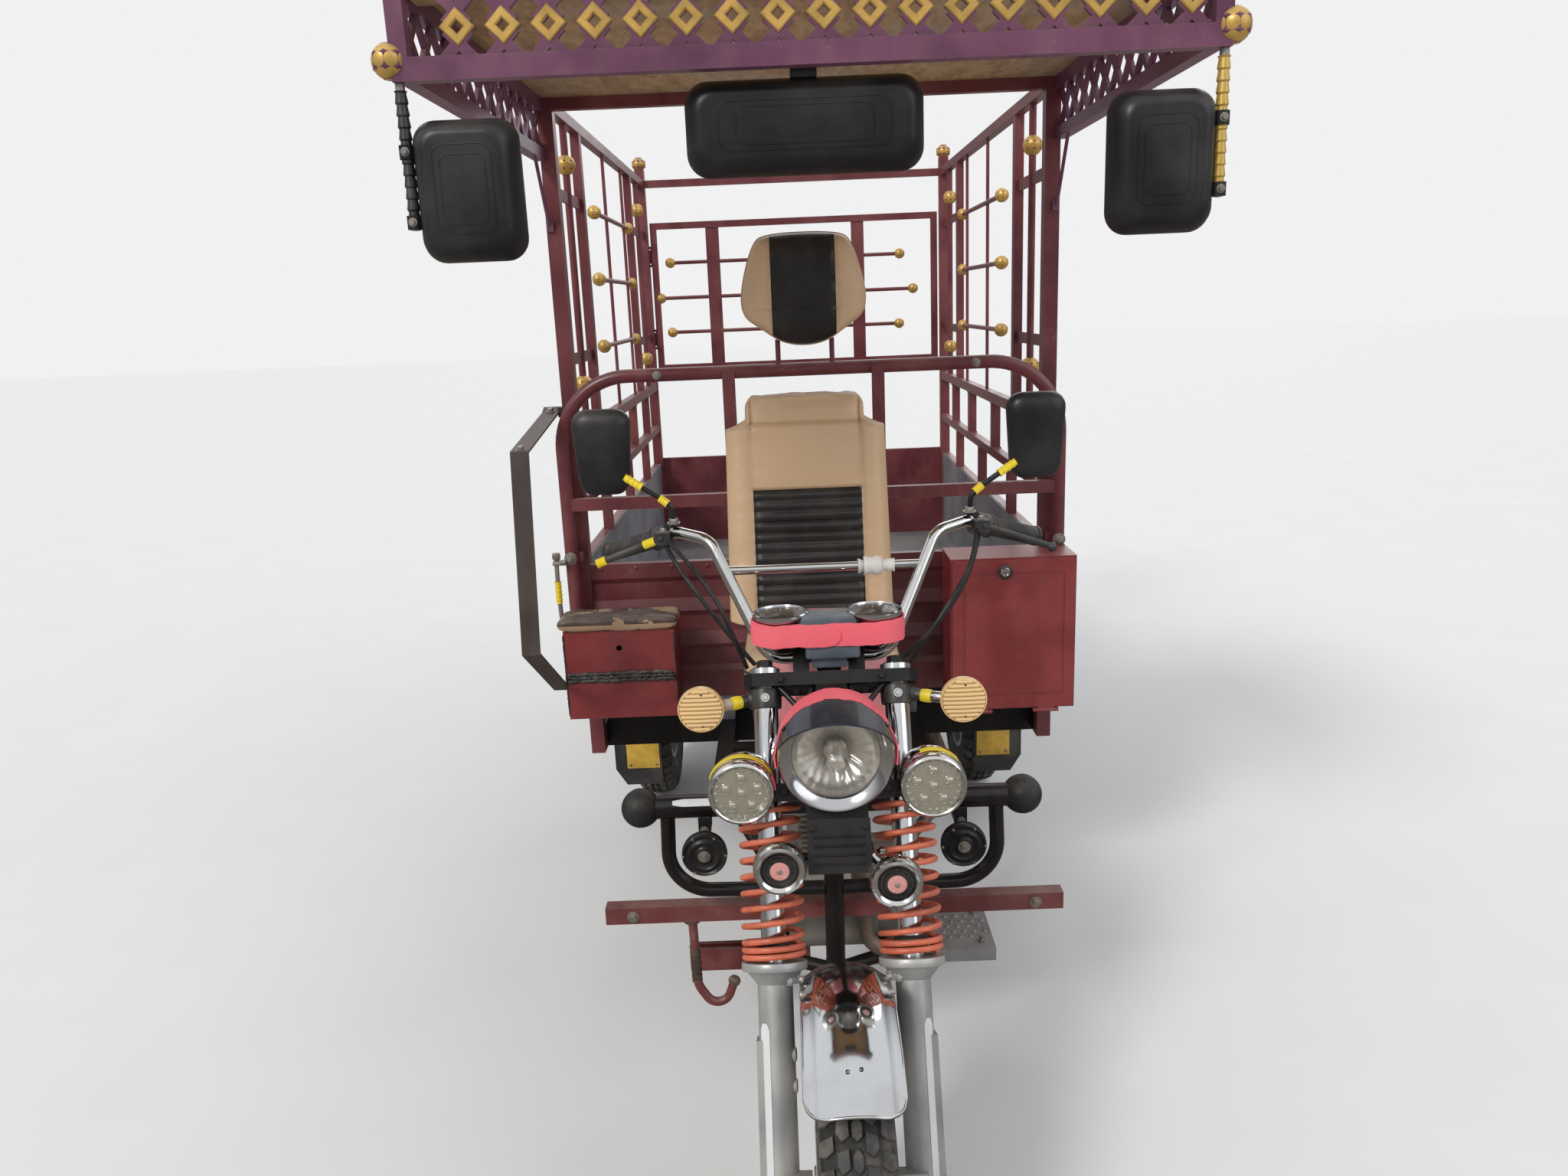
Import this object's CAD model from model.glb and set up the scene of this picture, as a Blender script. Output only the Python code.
import random
from functools import partial
from math import copysign, cos, degrees, exp, hypot, pi, radians, sin, sqrt, tau

import bmesh
import bpy
from mathutils import Matrix, Vector
from mathutils.noise import fractal


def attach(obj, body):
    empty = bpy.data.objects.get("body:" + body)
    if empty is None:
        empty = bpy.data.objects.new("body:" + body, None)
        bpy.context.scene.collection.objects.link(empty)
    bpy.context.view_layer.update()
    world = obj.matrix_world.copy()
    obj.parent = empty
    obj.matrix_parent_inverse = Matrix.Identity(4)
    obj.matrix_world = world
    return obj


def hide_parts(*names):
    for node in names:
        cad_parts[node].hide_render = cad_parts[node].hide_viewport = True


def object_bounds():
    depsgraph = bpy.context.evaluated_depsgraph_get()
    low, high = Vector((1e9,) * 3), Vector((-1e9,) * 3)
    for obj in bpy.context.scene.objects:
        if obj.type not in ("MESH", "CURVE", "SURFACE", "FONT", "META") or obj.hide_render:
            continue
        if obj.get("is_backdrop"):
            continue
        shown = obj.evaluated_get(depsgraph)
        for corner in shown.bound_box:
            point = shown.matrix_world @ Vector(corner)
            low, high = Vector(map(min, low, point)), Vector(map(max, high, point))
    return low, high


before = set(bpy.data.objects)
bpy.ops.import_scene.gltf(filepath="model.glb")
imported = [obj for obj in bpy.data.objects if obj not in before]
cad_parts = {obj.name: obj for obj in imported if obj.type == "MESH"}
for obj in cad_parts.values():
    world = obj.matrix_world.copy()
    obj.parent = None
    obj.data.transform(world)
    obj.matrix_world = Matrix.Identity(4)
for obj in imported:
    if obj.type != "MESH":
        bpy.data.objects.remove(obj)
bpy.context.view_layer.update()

# The view of the photograph: a phone held 1.6 m above the ground in front of the tricycle, tipped
# down by 14 degrees and held a little crooked, with a wide lens.


def linked(title, data):
    """A new object in the scene."""
    made = bpy.data.objects.new(title, data)
    bpy.context.scene.collection.objects.link(made)
    return made


pitch, roll, yaw = (radians(angle) for angle in (14.1, -2.38, -0.46))
forward = Vector((sin(yaw) * cos(pitch), cos(yaw) * cos(pitch), -sin(pitch)))
level = Vector((cos(yaw), -sin(yaw), 0))
right = level * cos(roll) + level.cross(forward) * sin(roll)
upward = right.cross(forward)
camera = linked("camera", bpy.data.cameras.new("camera"))
camera.data.sensor_width = 36
camera.data.lens = 26.02
attitude = Matrix((right, upward, -forward)).transposed().to_4x4()
camera.matrix_world = Matrix.Translation((-0.057, -2.94, 1.6)) @ attitude
bpy.context.scene.camera = camera

# A pale floor under soft light from both sides and above. The world is white only where the
# camera or glass looks at it, so that its light on the tricycle stays plain. Reflections see it
# grow darker towards the horizon, and the floor darker, as they would in a yard of bare earth.


def put(tree, kind, inputs=None, **settings):
    """Adds a shader node. An input given as a socket is linked, any other value is set."""
    made = tree.nodes.new(kind)
    for title, value in settings.items():
        setattr(made, title, value)
    for title, value in (inputs or {}).items():
        if isinstance(value, bpy.types.NodeSocket):
            tree.links.new(value, made.inputs[title])
        else:
            made.inputs[title].default_value = value
    return made


def calculate(tree, operation, *values, clamp=False):
    """A Math node's result."""
    return put(tree, "ShaderNodeMath", dict(enumerate(values)), operation=operation,
               use_clamp=clamp).outputs[0]


def mixed(tree, factor, first, second, blend="MIX"):
    """The colour between two colours."""
    node = put(tree, "ShaderNodeMix", {0: factor, 6: first, 7: second}, data_type="RGBA",
               blend_type=blend)
    return node.outputs[2]


def noise(tree, coordinates, scale, detail=4.0, roughness=0.55):
    """Cloudy noise between 0 and 1."""
    values = {"Vector": coordinates, "Scale": scale, "Detail": detail, "Roughness": roughness}
    return put(tree, "ShaderNodeTexNoise", values).outputs["Fac"]


def between(tree, value, low, high):
    """0 below the low value, 1 above the high one, smooth between them."""
    values = {"Value": value, "From Min": low, "From Max": high}
    return put(tree, "ShaderNodeMapRange", values, interpolation_type="SMOOTHSTEP").outputs["Result"]


world = bpy.data.worlds.new("soft_room")
bpy.context.scene.world = world
world.use_nodes = True
tree = world.node_tree
tree.nodes.clear()
rays = put(tree, "ShaderNodeLightPath").outputs
seen = calculate(tree, "MAXIMUM", rays["Is Camera Ray"], rays["Is Transmission Ray"])
sky = mixed(tree, seen, (0.56, 0.57, 0.59, 1), (0.88, 0.88, 0.88, 1))
ray = put(tree, "ShaderNodeTexCoord").outputs["Generated"]
up = put(tree, "ShaderNodeSeparateXYZ", {0: ray}).outputs["Z"]
wall = mixed(tree, between(tree, up, 0.04, 0.55), (0.2, 0.2, 0.21, 1), (0.95, 0.96, 0.98, 1))
sky = mixed(tree, rays["Is Glossy Ray"], sky, wall)
shine = put(tree, "ShaderNodeBackground", {"Color": sky, "Strength": 1.0})
put(tree, "ShaderNodeOutputWorld", {"Surface": shine.outputs[0]})

for title, place, spread, power, tint in (
    ("key_light", (-3.4, -4.6, 5.4), 14, 1.45, (1.0, 0.98, 0.94)),
    ("fill_light", (4.8, -3.0, 3.6), 40, 0.5, (0.95, 0.97, 1.0)),
    ("back_light", (1.5, 6.5, 4.2), 40, 0.55, (1.0, 1.0, 1.0)),
):
    light = linked(title, bpy.data.lights.new(title, "SUN"))
    light.data.angle = radians(spread)
    light.data.energy = power
    light.data.color = tint
    light.location = place
    light.rotation_euler = (Vector((0, 0, 0.9)) - light.location).to_track_quat("-Z", "Y").to_euler()

bpy.context.scene.view_settings.view_transform = "Standard"


def material(title, **constants):
    """A new material: its tree, its Principled shader and the object's own coordinates."""
    made = bpy.data.materials.new(title)
    made.use_nodes = True
    tree = made.node_tree
    shader = tree.nodes["Principled BSDF"]
    for name, value in constants.items():
        shader.inputs[name.replace("_", " ")].default_value = value
    return made, tree, shader, put(tree, "ShaderNodeTexCoord").outputs["Object"]


floor_mesh = bpy.data.meshes.new("floor")
floor_mesh.from_pydata([(-40, -40, 0), (40, -40, 0), (40, 40, 0), (-40, 40, 0)], [], [(0, 1, 2, 3)])
floor = linked("floor", floor_mesh)
floor_finish, tree, shader, place = material("pale_floor")
speck = noise(tree, place, 3.0, 6.0)
seen = put(tree, "ShaderNodeLightPath").outputs["Is Glossy Ray"]
pale = mixed(tree, speck, (0.8, 0.8, 0.79, 1), (0.86, 0.86, 0.85, 1))
tree.links.new(mixed(tree, seen, pale, (0.22, 0.19, 0.16, 1)), shader.inputs["Base Color"])
tree.links.new(calculate(tree, "MULTIPLY_ADD", speck, 0.1, 0.8), shader.inputs["Roughness"])
floor_mesh.materials.append(floor_finish)
floor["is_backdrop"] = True

# Control cables: four black cables that run from the housings on the handlebar to the upper yoke
# under the gauges. Each is one smooth line, with a dusty plastic sleeve.


def group(title, inputs, outputs):
    """An empty node group and its own input and output sockets."""
    made = bpy.data.node_groups.new(title, "ShaderNodeTree")
    kinds = {"colour": "NodeSocketColor", "value": "NodeSocketFloat"}
    for name, (kind, value) in inputs.items():
        made.interface.new_socket(name, in_out="INPUT", socket_type=kinds[kind]).default_value = value
    for name, kind in outputs.items():
        made.interface.new_socket(name, in_out="OUTPUT", socket_type=kinds[kind])
    return made, made.nodes.new("NodeGroupInput").outputs, made.nodes.new("NodeGroupOutput").inputs


EFFECT = {"Color": "colour", "Roughness": "value", "Height": "value"}
dusty_coat, given, made = group("dusty_coat", {
    "Base": ("colour", (0.03, 0.03, 0.03, 1)),
    "Dust colour": ("colour", (0.4, 0.35, 0.29, 1)),
    "Dust": ("value", 0.4),
    "Scale": ("value", 10.0),
    "Gloss": ("value", 0.5),
}, EFFECT)
coat_math = partial(calculate, dusty_coat)
own = put(dusty_coat, "ShaderNodeTexCoord").outputs["Object"]
film = noise(dusty_coat, own, given["Scale"], 6.0, 0.62)
grit = noise(dusty_coat, own, coat_math("MULTIPLY", given["Scale"], 40.0), 3.0)
normal = put(dusty_coat, "ShaderNodeNewGeometry").outputs["Normal"]
up = put(dusty_coat, "ShaderNodeSeparateXYZ", {0: normal}).outputs["Z"]
lying = coat_math("MULTIPLY_ADD", between(dusty_coat, up, 0.0, 0.9), 0.6, 0.4)
veil = coat_math("MULTIPLY", between(dusty_coat, film, 0.35, 0.8), lying)
veil = coat_math("MULTIPLY_ADD", between(dusty_coat, grit, 0.62, 0.75), 0.12, veil)
veil = coat_math("MULTIPLY", veil, given["Dust"], clamp=True)
dusty_coat.links.new(mixed(dusty_coat, veil, given["Base"], given["Dust colour"]), made["Color"])
dusty_coat.links.new(coat_math("MULTIPLY_ADD", veil, 0.4, given["Gloss"], clamp=True), made["Roughness"])
raised = coat_math("MULTIPLY_ADD", grit, 0.4, coat_math("MULTIPLY", film, 0.3))
dusty_coat.links.new(raised, made["Height"])


def surfaced(tree, shader, colour, roughness, height, strength, distance):
    """Links a shader's colour, roughness and relief."""
    bump = put(tree, "ShaderNodeBump", {"Height": height, "Strength": strength, "Distance": distance})
    for name, socket in (("Base Color", colour), ("Roughness", roughness), ("Normal", bump.outputs[0])):
        tree.links.new(socket, shader.inputs[name])


def effected(title, effect, values, strength, distance, **constants):
    """A material whose colour, roughness and relief come from a node group with its own values."""
    finish, tree, shader, _ = material(title, **constants)
    made = put(tree, "ShaderNodeGroup", values, node_tree=effect).outputs
    surfaced(tree, shader, made["Color"], made["Roughness"], made["Height"], strength, distance)
    return finish


def dusted(title, base, dust=0.4, scale=10.0, gloss=0.5, relief=0.3, **constants):
    """Rubber, plastic or tape with grit on it."""
    values = {"Base": (*base, 1), "Dust": dust, "Scale": scale, "Gloss": gloss}
    return effected(title, dusty_coat, values, relief, 0.0005, **constants)


cable_black = dusted("cable_black", (0.009, 0.009, 0.01), dust=0.12, scale=30.0, gloss=0.4,
                     Specular_IOR_Level=0.3)
for title, run, route in (
    ("cable_clutch", 0.275, ((-0.282, -0.936, 1.1825), (-0.262, -0.968, 1.15), (-0.212, -1.006, 1.09),
                             (-0.168, -1.024, 1.03), (-0.128, -1.04, 0.985))),
    ("cable_choke", 0.291, ((-0.276, -0.9453, 1.192), (-0.24, -1.0, 1.168), (-0.19, -1.05, 1.112),
                            (-0.16, -1.066, 1.04), (-0.142, -1.066, 0.988))),
    ("cable_throttle", 0.279, ((0.282, -0.936, 1.1825), (0.268, -0.97, 1.14), (0.226, -1.01, 1.076),
                               (0.176, -1.028, 1.024), (0.128, -1.04, 0.985))),
    ("cable_brake", 0.294, ((0.276, -0.9453, 1.192), (0.262, -1.006, 1.15), (0.214, -1.062, 1.096),
                            (0.172, -1.074, 1.036), (0.142, -1.066, 0.988))),
):
    line = bpy.data.curves.new(f"{title}_sleeve", "CURVE")
    line.dimensions = "3D"
    line.bevel_depth = 0.004
    line.bevel_resolution = 4
    line.resolution_u = 16
    line.use_fill_caps = True
    spline = line.splines.new("NURBS")
    spline.points.add(len(route) - 1)
    for point, place in zip(spline.points, route):
        point.co = (*place, 1)
    spline.order_u = 3
    spline.use_endpoint_u = True
    line.materials.append(cable_black)
    cable = linked(f"{title}_sleeve", line)
    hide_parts(title)
    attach(cable, "steering")

# Frame: brushed black paint on tube and channel, dull with dust, and chipped along its edges down
# to rust. The same worn paint is used on the painted pieces further on, each with its own colour.
worn_paint, given, made = group("worn_paint", {
    "Paint": ("colour", (0.2, 0.02, 0.02, 1)),
    "Bare": ("colour", (0.2, 0.12, 0.08, 1)),
    "Dust colour": ("colour", (0.42, 0.36, 0.29, 1)),
    "Wear": ("value", 0.4),
    "Dust": ("value", 0.3),
    "Scale": ("value", 8.0),
    "Edge": ("value", 0.004),
    "Gloss": ("value", 0.35),
}, EFFECT)
wear_math = partial(calculate, worn_paint)
own = put(worn_paint, "ShaderNodeTexCoord").outputs["Object"]
cloud = noise(worn_paint, own, given["Scale"], 5.0)
fine = noise(worn_paint, own, wear_math("MULTIPLY", given["Scale"], 14.0), 6.0, 0.65)
stretched = {"Vector": own, "Scale": (1.0, 1.0, 0.16)}
drip = put(worn_paint, "ShaderNodeMapping", stretched).outputs[0]
streak = noise(worn_paint, drip, wear_math("MULTIPLY", given["Scale"], 4.0), 5.0, 0.6)
softened = put(worn_paint, "ShaderNodeBevel", {"Radius": given["Edge"]}, samples=4).outputs[0]
sharp = put(worn_paint, "ShaderNodeNewGeometry").outputs
bend = put(worn_paint, "ShaderNodeVectorMath", {0: softened, 1: sharp["Normal"]},
           operation="DOT_PRODUCT").outputs["Value"]
edge = between(worn_paint, wear_math("SUBTRACT", 1.0, bend), 0.02, 0.2)
edge = wear_math("MULTIPLY", edge, between(worn_paint, fine, 0.4, 0.62))
limit = wear_math("MULTIPLY_ADD", given["Wear"], -0.22, 0.8)
chips = between(worn_paint, wear_math("MULTIPLY_ADD", cloud, 0.35, wear_math("MULTIPLY", fine, 0.75)),
                limit, wear_math("ADD", limit, 0.02))
bare = wear_math("MAXIMUM", wear_math("MULTIPLY", edge, given["Wear"]), chips, clamp=True)
upward = put(worn_paint, "ShaderNodeSeparateXYZ", {0: sharp["Normal"]}).outputs["Z"]
lying = between(worn_paint, upward, 0.2, 0.95)
settled = wear_math("MULTIPLY_ADD", lying, 0.75, wear_math("MULTIPLY", streak, 0.45))
dusty = wear_math("MULTIPLY", settled, between(worn_paint, cloud, 0.25, 0.75))
dusty = wear_math("MULTIPLY", dusty, given["Dust"], clamp=True)
shade = mixed(worn_paint, between(worn_paint, cloud, 0.3, 0.7), (0.72, 0.72, 0.74, 1),
              (1.12, 1.08, 1.06, 1))
paint = mixed(worn_paint, 1.0, given["Paint"], shade, "MULTIPLY")
paint = mixed(worn_paint, wear_math("MULTIPLY", streak, 0.22), paint, given["Bare"])
paint = mixed(worn_paint, bare, paint, given["Bare"])
worn_paint.links.new(mixed(worn_paint, dusty, paint, given["Dust colour"]), made["Color"])
rough = wear_math("MULTIPLY_ADD", cloud, 0.16, given["Gloss"])
rough = wear_math("MULTIPLY_ADD", bare, 0.3, rough)
worn_paint.links.new(wear_math("MULTIPLY_ADD", dusty, 0.45, rough, clamp=True), made["Roughness"])
raised = wear_math("MULTIPLY_ADD", bare, -0.7, wear_math("MULTIPLY", fine, 0.18))
worn_paint.links.new(raised, made["Height"])


def painted(title, paint, bare=(0.16, 0.1, 0.07), wear=0.4, dust=0.3, scale=8.0, edge=0.004, gloss=0.3,
            coat=0.15, metallic=0.0, shine=0.5):
    """A brushed or sprayed paint with chips, dust and dull patches of its own."""
    values = {"Paint": (*paint, 1), "Bare": (*bare, 1), "Wear": wear, "Dust": dust, "Scale": scale,
              "Edge": edge, "Gloss": gloss}
    return effected(title, worn_paint, values, 0.35, 0.0006, Coat_Weight=coat, Coat_Roughness=0.25,
                    Metallic=metallic, Specular_IOR_Level=shine)


def dress(finish, *nodes):
    """Gives CAD nodes their material."""
    for name in nodes:
        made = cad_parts[name]
        if not made.material_slots:
            made.data.materials.append(finish)
        for place in made.material_slots:
            place.material = finish


dress(painted("frame_black_paint", (0.005, 0.005, 0.006), bare=(0.05, 0.034, 0.028), wear=0.14, dust=0.06,
              scale=6.0, coat=0.0, shine=0.25), "frame_front", "frame_main", "seat_base")

# Cast and forged iron under the bed, brown with old grease and road dust: the axle with its casing
# and the leaves of the springs. The engine is dull alloy, and heat has turned the exhaust brown.
dress(painted("greasy_iron", (0.055, 0.045, 0.038), bare=(0.13, 0.07, 0.04), wear=0.7, dust=0.7,
              scale=12.0, gloss=0.55, coat=0.0), "rear_axle", "leaf_springs")
dress(painted("cast_engine_alloy", (0.3, 0.29, 0.27), bare=(0.16, 0.14, 0.12), dust=0.55, scale=14.0,
              gloss=0.42, coat=0.0, metallic=0.6), "engine")
dress(painted("heated_exhaust", (0.2, 0.165, 0.135), bare=(0.2, 0.08, 0.04), wear=0.6, dust=0.4,
              scale=11.0, gloss=0.4, coat=0.0, metallic=0.7), "exhaust")

# Tyres: a ribbed road tyre on the front wheel and heavier ones behind, black rubber gone grey with
# dust. Each carcass is turned, and its five rows of tread blocks are set on the crown one by one.


def put_piece(name, made, finishes, body, slot, sharp=38, *replaces):
    """Turns a bmesh into a piece with its finishes that rides on a body."""
    bmesh.ops.recalc_face_normals(made, faces=made.faces)
    mesh = bpy.data.meshes.new(name)
    made.to_mesh(mesh)
    made.free()
    for finish in finishes:
        mesh.materials.append(finish)
    mesh.polygons.foreach_set("use_smooth", [True] * len(mesh.polygons))
    mesh.set_sharp_from_angle(angle=radians(sharp))
    piece = linked(name, mesh)
    if replaces:
        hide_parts(*replaces)
    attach(piece, body)
    return piece


def polar(radius, angle, height=0.0):
    """A point round the Z axis."""
    return Vector((radius * cos(angle), radius * sin(angle), height))


def facing(at, along):
    """The place whose Z axis runs along a direction."""
    return Matrix.Translation(Vector(at)) @ Vector(along).to_track_quat("Z", "Y").to_matrix().to_4x4()


def joined_rings(made, rings, mark=0, closed=True):
    """Faces between rings of points. A ring of one point closes the shape."""
    for low, high in zip(rings, rings[1:]):
        count = max(len(low), len(high))
        for i in range(count if closed else count - 1):
            j = (i + 1) % count
            corners = (low[i % len(low)], low[j % len(low)], high[j % len(high)], high[i % len(high)])
            corners = list(dict.fromkeys(corners))
            if len(corners) > 2:
                made.faces.new(corners).material_index = mark


def turned(made, place, profile, steps=40, mark=0, sweep=(0.0, 360.0)):
    """Turns a profile of (radius, height) points round the Z axis of a place."""
    whole = sweep[1] - sweep[0] > 359.9
    angles = [radians(sweep[0] + (sweep[1] - sweep[0]) * i / (steps if whole else steps - 1))
              for i in range(steps)]
    rings = []
    for radius, height in profile:
        if radius < 1e-6:
            rings.append([made.verts.new(place @ Vector((0, 0, height)))])
        else:
            rings.append([made.verts.new(place @ polar(radius, a, height)) for a in angles])
    joined_rings(made, rings, mark, closed=whole)


def crown(radius, across):
    """The radius of the tread at a share of the half width."""
    if abs(across) < 0.84:
        return radius - 0.012 * (abs(across) / 0.84) ** 2.4
    return radius - 0.012 - 0.03 * ((abs(across) - 0.84) / 0.16) ** 1.4


TREAD_DEPTH = 0.0075
WHEEL_R = 0.285
FRONT_Y, REAR_Y, REAR_X = -1.49, 0.7, 0.53
tyre_rubber = dusted("tyre_rubber", (0.03, 0.03, 0.031), dust=0.72, scale=14.0, gloss=0.62, relief=0.45)
groove_rubber = dusted("tread_groove_rubber", (0.016, 0.016, 0.016), dust=0.35, scale=18.0, gloss=0.75)
for title, body, x, y, width, pitches in (
    ("front", "front_wheel", 0.0, FRONT_Y, 0.112, 44),
    ("rear_left", "rear_wheel_left", -REAR_X, REAR_Y, 0.126, 38),
    ("rear_right", "rear_wheel_right", REAR_X, REAR_Y, 0.126, 38),
):
    half = width / 2
    hub = facing((x, y, WHEEL_R), (1, 0, 0))
    made = bmesh.new()
    shares = [i / 10 for i in range(-9, 10)]
    profile = [(0.159, -half * 0.7), (0.174, -half * 0.74), (0.196, -half * 0.88), (0.202, -half * 0.93),
               (0.206, -half * 0.91), (0.226, -half * 0.985), (0.236, -half * 0.985),
               (0.24, -half * 0.96)]
    profile += [(crown(WHEEL_R, share) - TREAD_DEPTH, half * share) for share in shares]
    profile += [(radius, -height) for radius, height in reversed(profile[:8])]
    turned(made, hub, profile, steps=96)
    for face in made.faces:
        middle = hub.inverted() @ face.calc_center_median()
        face.material_index = 1 if abs(middle.z) < half * 0.9 and hypot(middle.x, middle.y) > 0.24 else 0
    step = tau / pitches
    rows = (
        # middle of the block across and round, then its outline in shares of the width and the pitch
        (0.0, 0.0, ((-0.13, -0.16), (0.0, -0.42), (0.13, -0.16), (0.13, 0.24), (0.0, 0.4), (-0.13, 0.24))),
        (0.36, 0.5, ((-0.15, -0.4), (0.13, -0.3), (0.16, 0.1), (0.02, 0.4), (-0.17, 0.22))),
        (-0.36, 0.0, ((0.15, -0.4), (-0.13, -0.3), (-0.16, 0.1), (-0.02, 0.4), (0.17, 0.22))),
        (0.74, 0.0, ((-0.15, -0.34), (0.19, -0.26), (0.22, 0.22), (0.02, 0.34), (-0.17, 0.16))),
        (-0.74, 0.5, ((0.15, -0.34), (-0.19, -0.26), (-0.22, 0.22), (-0.02, 0.34), (0.17, 0.16))),
    )
    for turn in range(pitches):
        for middle, offset, outline in rows:
            rings = []
            for inset, depth in ((1.0, TREAD_DEPTH + 0.001), (1.0, 0.0012), (0.9, 0.0)):
                ring = []
                for across, around in outline:
                    share = middle + across * inset
                    angle = (turn + offset + around * inset) * step
                    radius = crown(WHEEL_R, share) - depth
                    ring.append(made.verts.new(hub @ polar(radius, angle, half * share)))
                rings.append(ring)
            joined_rings(made, rings)
            made.faces.new(rings[-1])
    put_piece(f"tyre_tread_{title}", made, (tyre_rubber, groove_rubber), body, "tyre_rubber", 30,
              f"tyre_{title}")

# Wheels: pressed rims in silver paint with cast hubs. Hex nuts hold the discs of the rear wheels,
# and a valve stands in each rim.


def evenly(count):
    """Angles spread evenly over one turn."""
    return [tau * i / count for i in range(count)]


def swept(made, points, radius, sides=12, mark=0, loop=False):
    """Sweeps a round section along points. The radius may differ from point to point."""
    points = [Vector(point) for point in points]
    radii = radius if hasattr(radius, "__len__") else [radius] * len(points)
    normal = None
    rings = []
    for i, point in enumerate(points):
        ahead = points[(i + 1) % len(points)] if loop or i < len(points) - 1 else point
        behind = points[i - 1] if loop or i > 0 else point
        along = (ahead - behind).normalized()
        if normal is None:
            normal = along.orthogonal()
        normal = (normal - along * normal.dot(along)).normalized()
        across = along.cross(normal)
        rings.append([made.verts.new(point + (normal * cos(a) + across * sin(a)) * radii[i])
                      for a in evenly(sides)])
    if loop:
        rings.append(rings[0])
    joined_rings(made, rings, mark)
    if not loop:
        for ring in (rings[0], rings[-1]):
            made.faces.new(ring).material_index = mark


def hex_bolt(made, at, along, width=0.013, mark=0, stud=False):
    """A hexagon head on its washer, or a nut with the end of its stud."""
    place = facing(at, along)
    washer = ((width * 0.82, 0.0), (width * 0.82, width * 0.12), (width * 0.5, width * 0.14))
    turned(made, place, washer, 18, mark)
    across = width / 2 / cos(pi / 6)
    top = width * 0.62
    head = ((across, width * 0.1), (across, top * 0.84), (across * 0.86, top), (0, top))
    turned(made, place, head, 6, mark)
    if stud:
        end = ((width * 0.3, top), (width * 0.3, top + width * 0.35), (0, top + width * 0.4))
        turned(made, place, end, 12, mark)


dress(painted("rim_silver_paint", (0.5, 0.5, 0.49), wear=0.25, dust=0.45, scale=9.0, gloss=0.35),
      "rim_front", "rim_rear_left", "rim_rear_right")
bolt_zinc = painted("bolt_zinc", (0.42, 0.41, 0.38), bare=(0.2, 0.1, 0.05), wear=0.7, dust=0.4,
                    scale=60.0, edge=0.0006, gloss=0.35, coat=0.0, metallic=0.8)
for title, body, x, y, faces, nuts, end, inner in (
    ("front", "front_wheel", 0.0, FRONT_Y, (-1, 1), 0, 0.0562, 0.01),
    ("rear_left", "rear_wheel_left", -REAR_X, REAR_Y, (-1,), 5, 0.0555, 0.0195),
    ("rear_right", "rear_wheel_right", REAR_X, REAR_Y, (1,), 5, 0.0555, 0.0195),
):
    made = bmesh.new()
    for side in faces:
        for angle in evenly(nuts):
            at = (x + side * 0.004, y + 0.062 * cos(angle), WHEEL_R + 0.062 * sin(angle))
            hex_bolt(made, at, (side, 0, 0), 0.019, stud=True)
        ring = ((inner, 0.0), (0.037, 0.0), (0.037, 0.0016), (0.034, 0.0032), (inner, 0.0036), (inner, 0.0))
        turned(made, facing((x + side * end, y, WHEEL_R), (side, 0, 0)), ring, 28)
    swept(made, ((x + 0.02, y + 0.135, WHEEL_R), (x + 0.032, y + 0.128, WHEEL_R),
                 (x + 0.042, y + 0.122, WHEEL_R)), (0.004, 0.0034, 0.003), 10)
    put_piece(f"wheel_fasteners_{title}", made, (bolt_zinc,), body, "rim_silver")

# Fork: two bright tubes in black forged yokes. The sliders are cast legs in silver paint, with a
# white reflective strip down each, and round caps where the mudguard's stay joins.
smudged, given, made = group("smudged_chrome", {
    "Bright": ("colour", (0.62, 0.63, 0.64, 1)),
    "Grime": ("colour", (0.2, 0.17, 0.14, 1)),
    "Amount": ("value", 0.4),
    "Scale": ("value", 12.0),
}, EFFECT)
smudge_math = partial(calculate, smudged)
own = put(smudged, "ShaderNodeTexCoord").outputs["Object"]
film = noise(smudged, own, given["Scale"], 6.0, 0.6)
pits = noise(smudged, own, smudge_math("MULTIPLY", given["Scale"], 22.0), 3.0)
grime = smudge_math("MULTIPLY", between(smudged, film, 0.5, 0.85), given["Amount"], clamp=True)
spots = smudge_math("MULTIPLY", between(smudged, pits, 0.7, 0.76), given["Amount"])
grime = smudge_math("MAXIMUM", grime, spots)
smudged.links.new(mixed(smudged, grime, given["Bright"], given["Grime"]), made["Color"])
dull = smudge_math("MULTIPLY_ADD", grime, 0.5, smudge_math("MULTIPLY_ADD", film, 0.16, 0.02), clamp=True)
smudged.links.new(dull, made["Roughness"])
raised = smudge_math("MULTIPLY_ADD", pits, 0.2, smudge_math("MULTIPLY", grime, -0.5))
smudged.links.new(raised, made["Height"])


def chromed(title, bright=(0.6, 0.61, 0.62), amount=0.4, scale=12.0):
    """A chromed surface with its own film of dirt."""
    values = {"Bright": (*bright, 1), "Amount": amount, "Scale": scale}
    return effected(title, smudged, values, 0.15, 0.0004, Metallic=1.0)


rake = radians(26)
LEAN = Matrix(((1, 0, 0, 0), (0, cos(rake), sin(rake), FRONT_Y), (0, -sin(rake), cos(rake), WHEEL_R),
               (0, 0, 0, 1)))
FORK_FRONT = LEAN.to_3x3() @ Vector((0, -1, 0))
FORK_UP = LEAN.to_3x3() @ Vector((0, 0, 1))
TUBE_X = 0.11


def mm(*values):
    """Pairs of sizes given in millimetres, such as the (radius, height) points of a profile."""
    return [(first / 1000, second / 1000) for first, second in zip(values[::2], values[1::2])]


def on_fork(x, back, up):
    """A point by its distance behind the fork tubes' plane and its height along them."""
    return LEAN @ Vector((x, back + 0.02, up))


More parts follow.
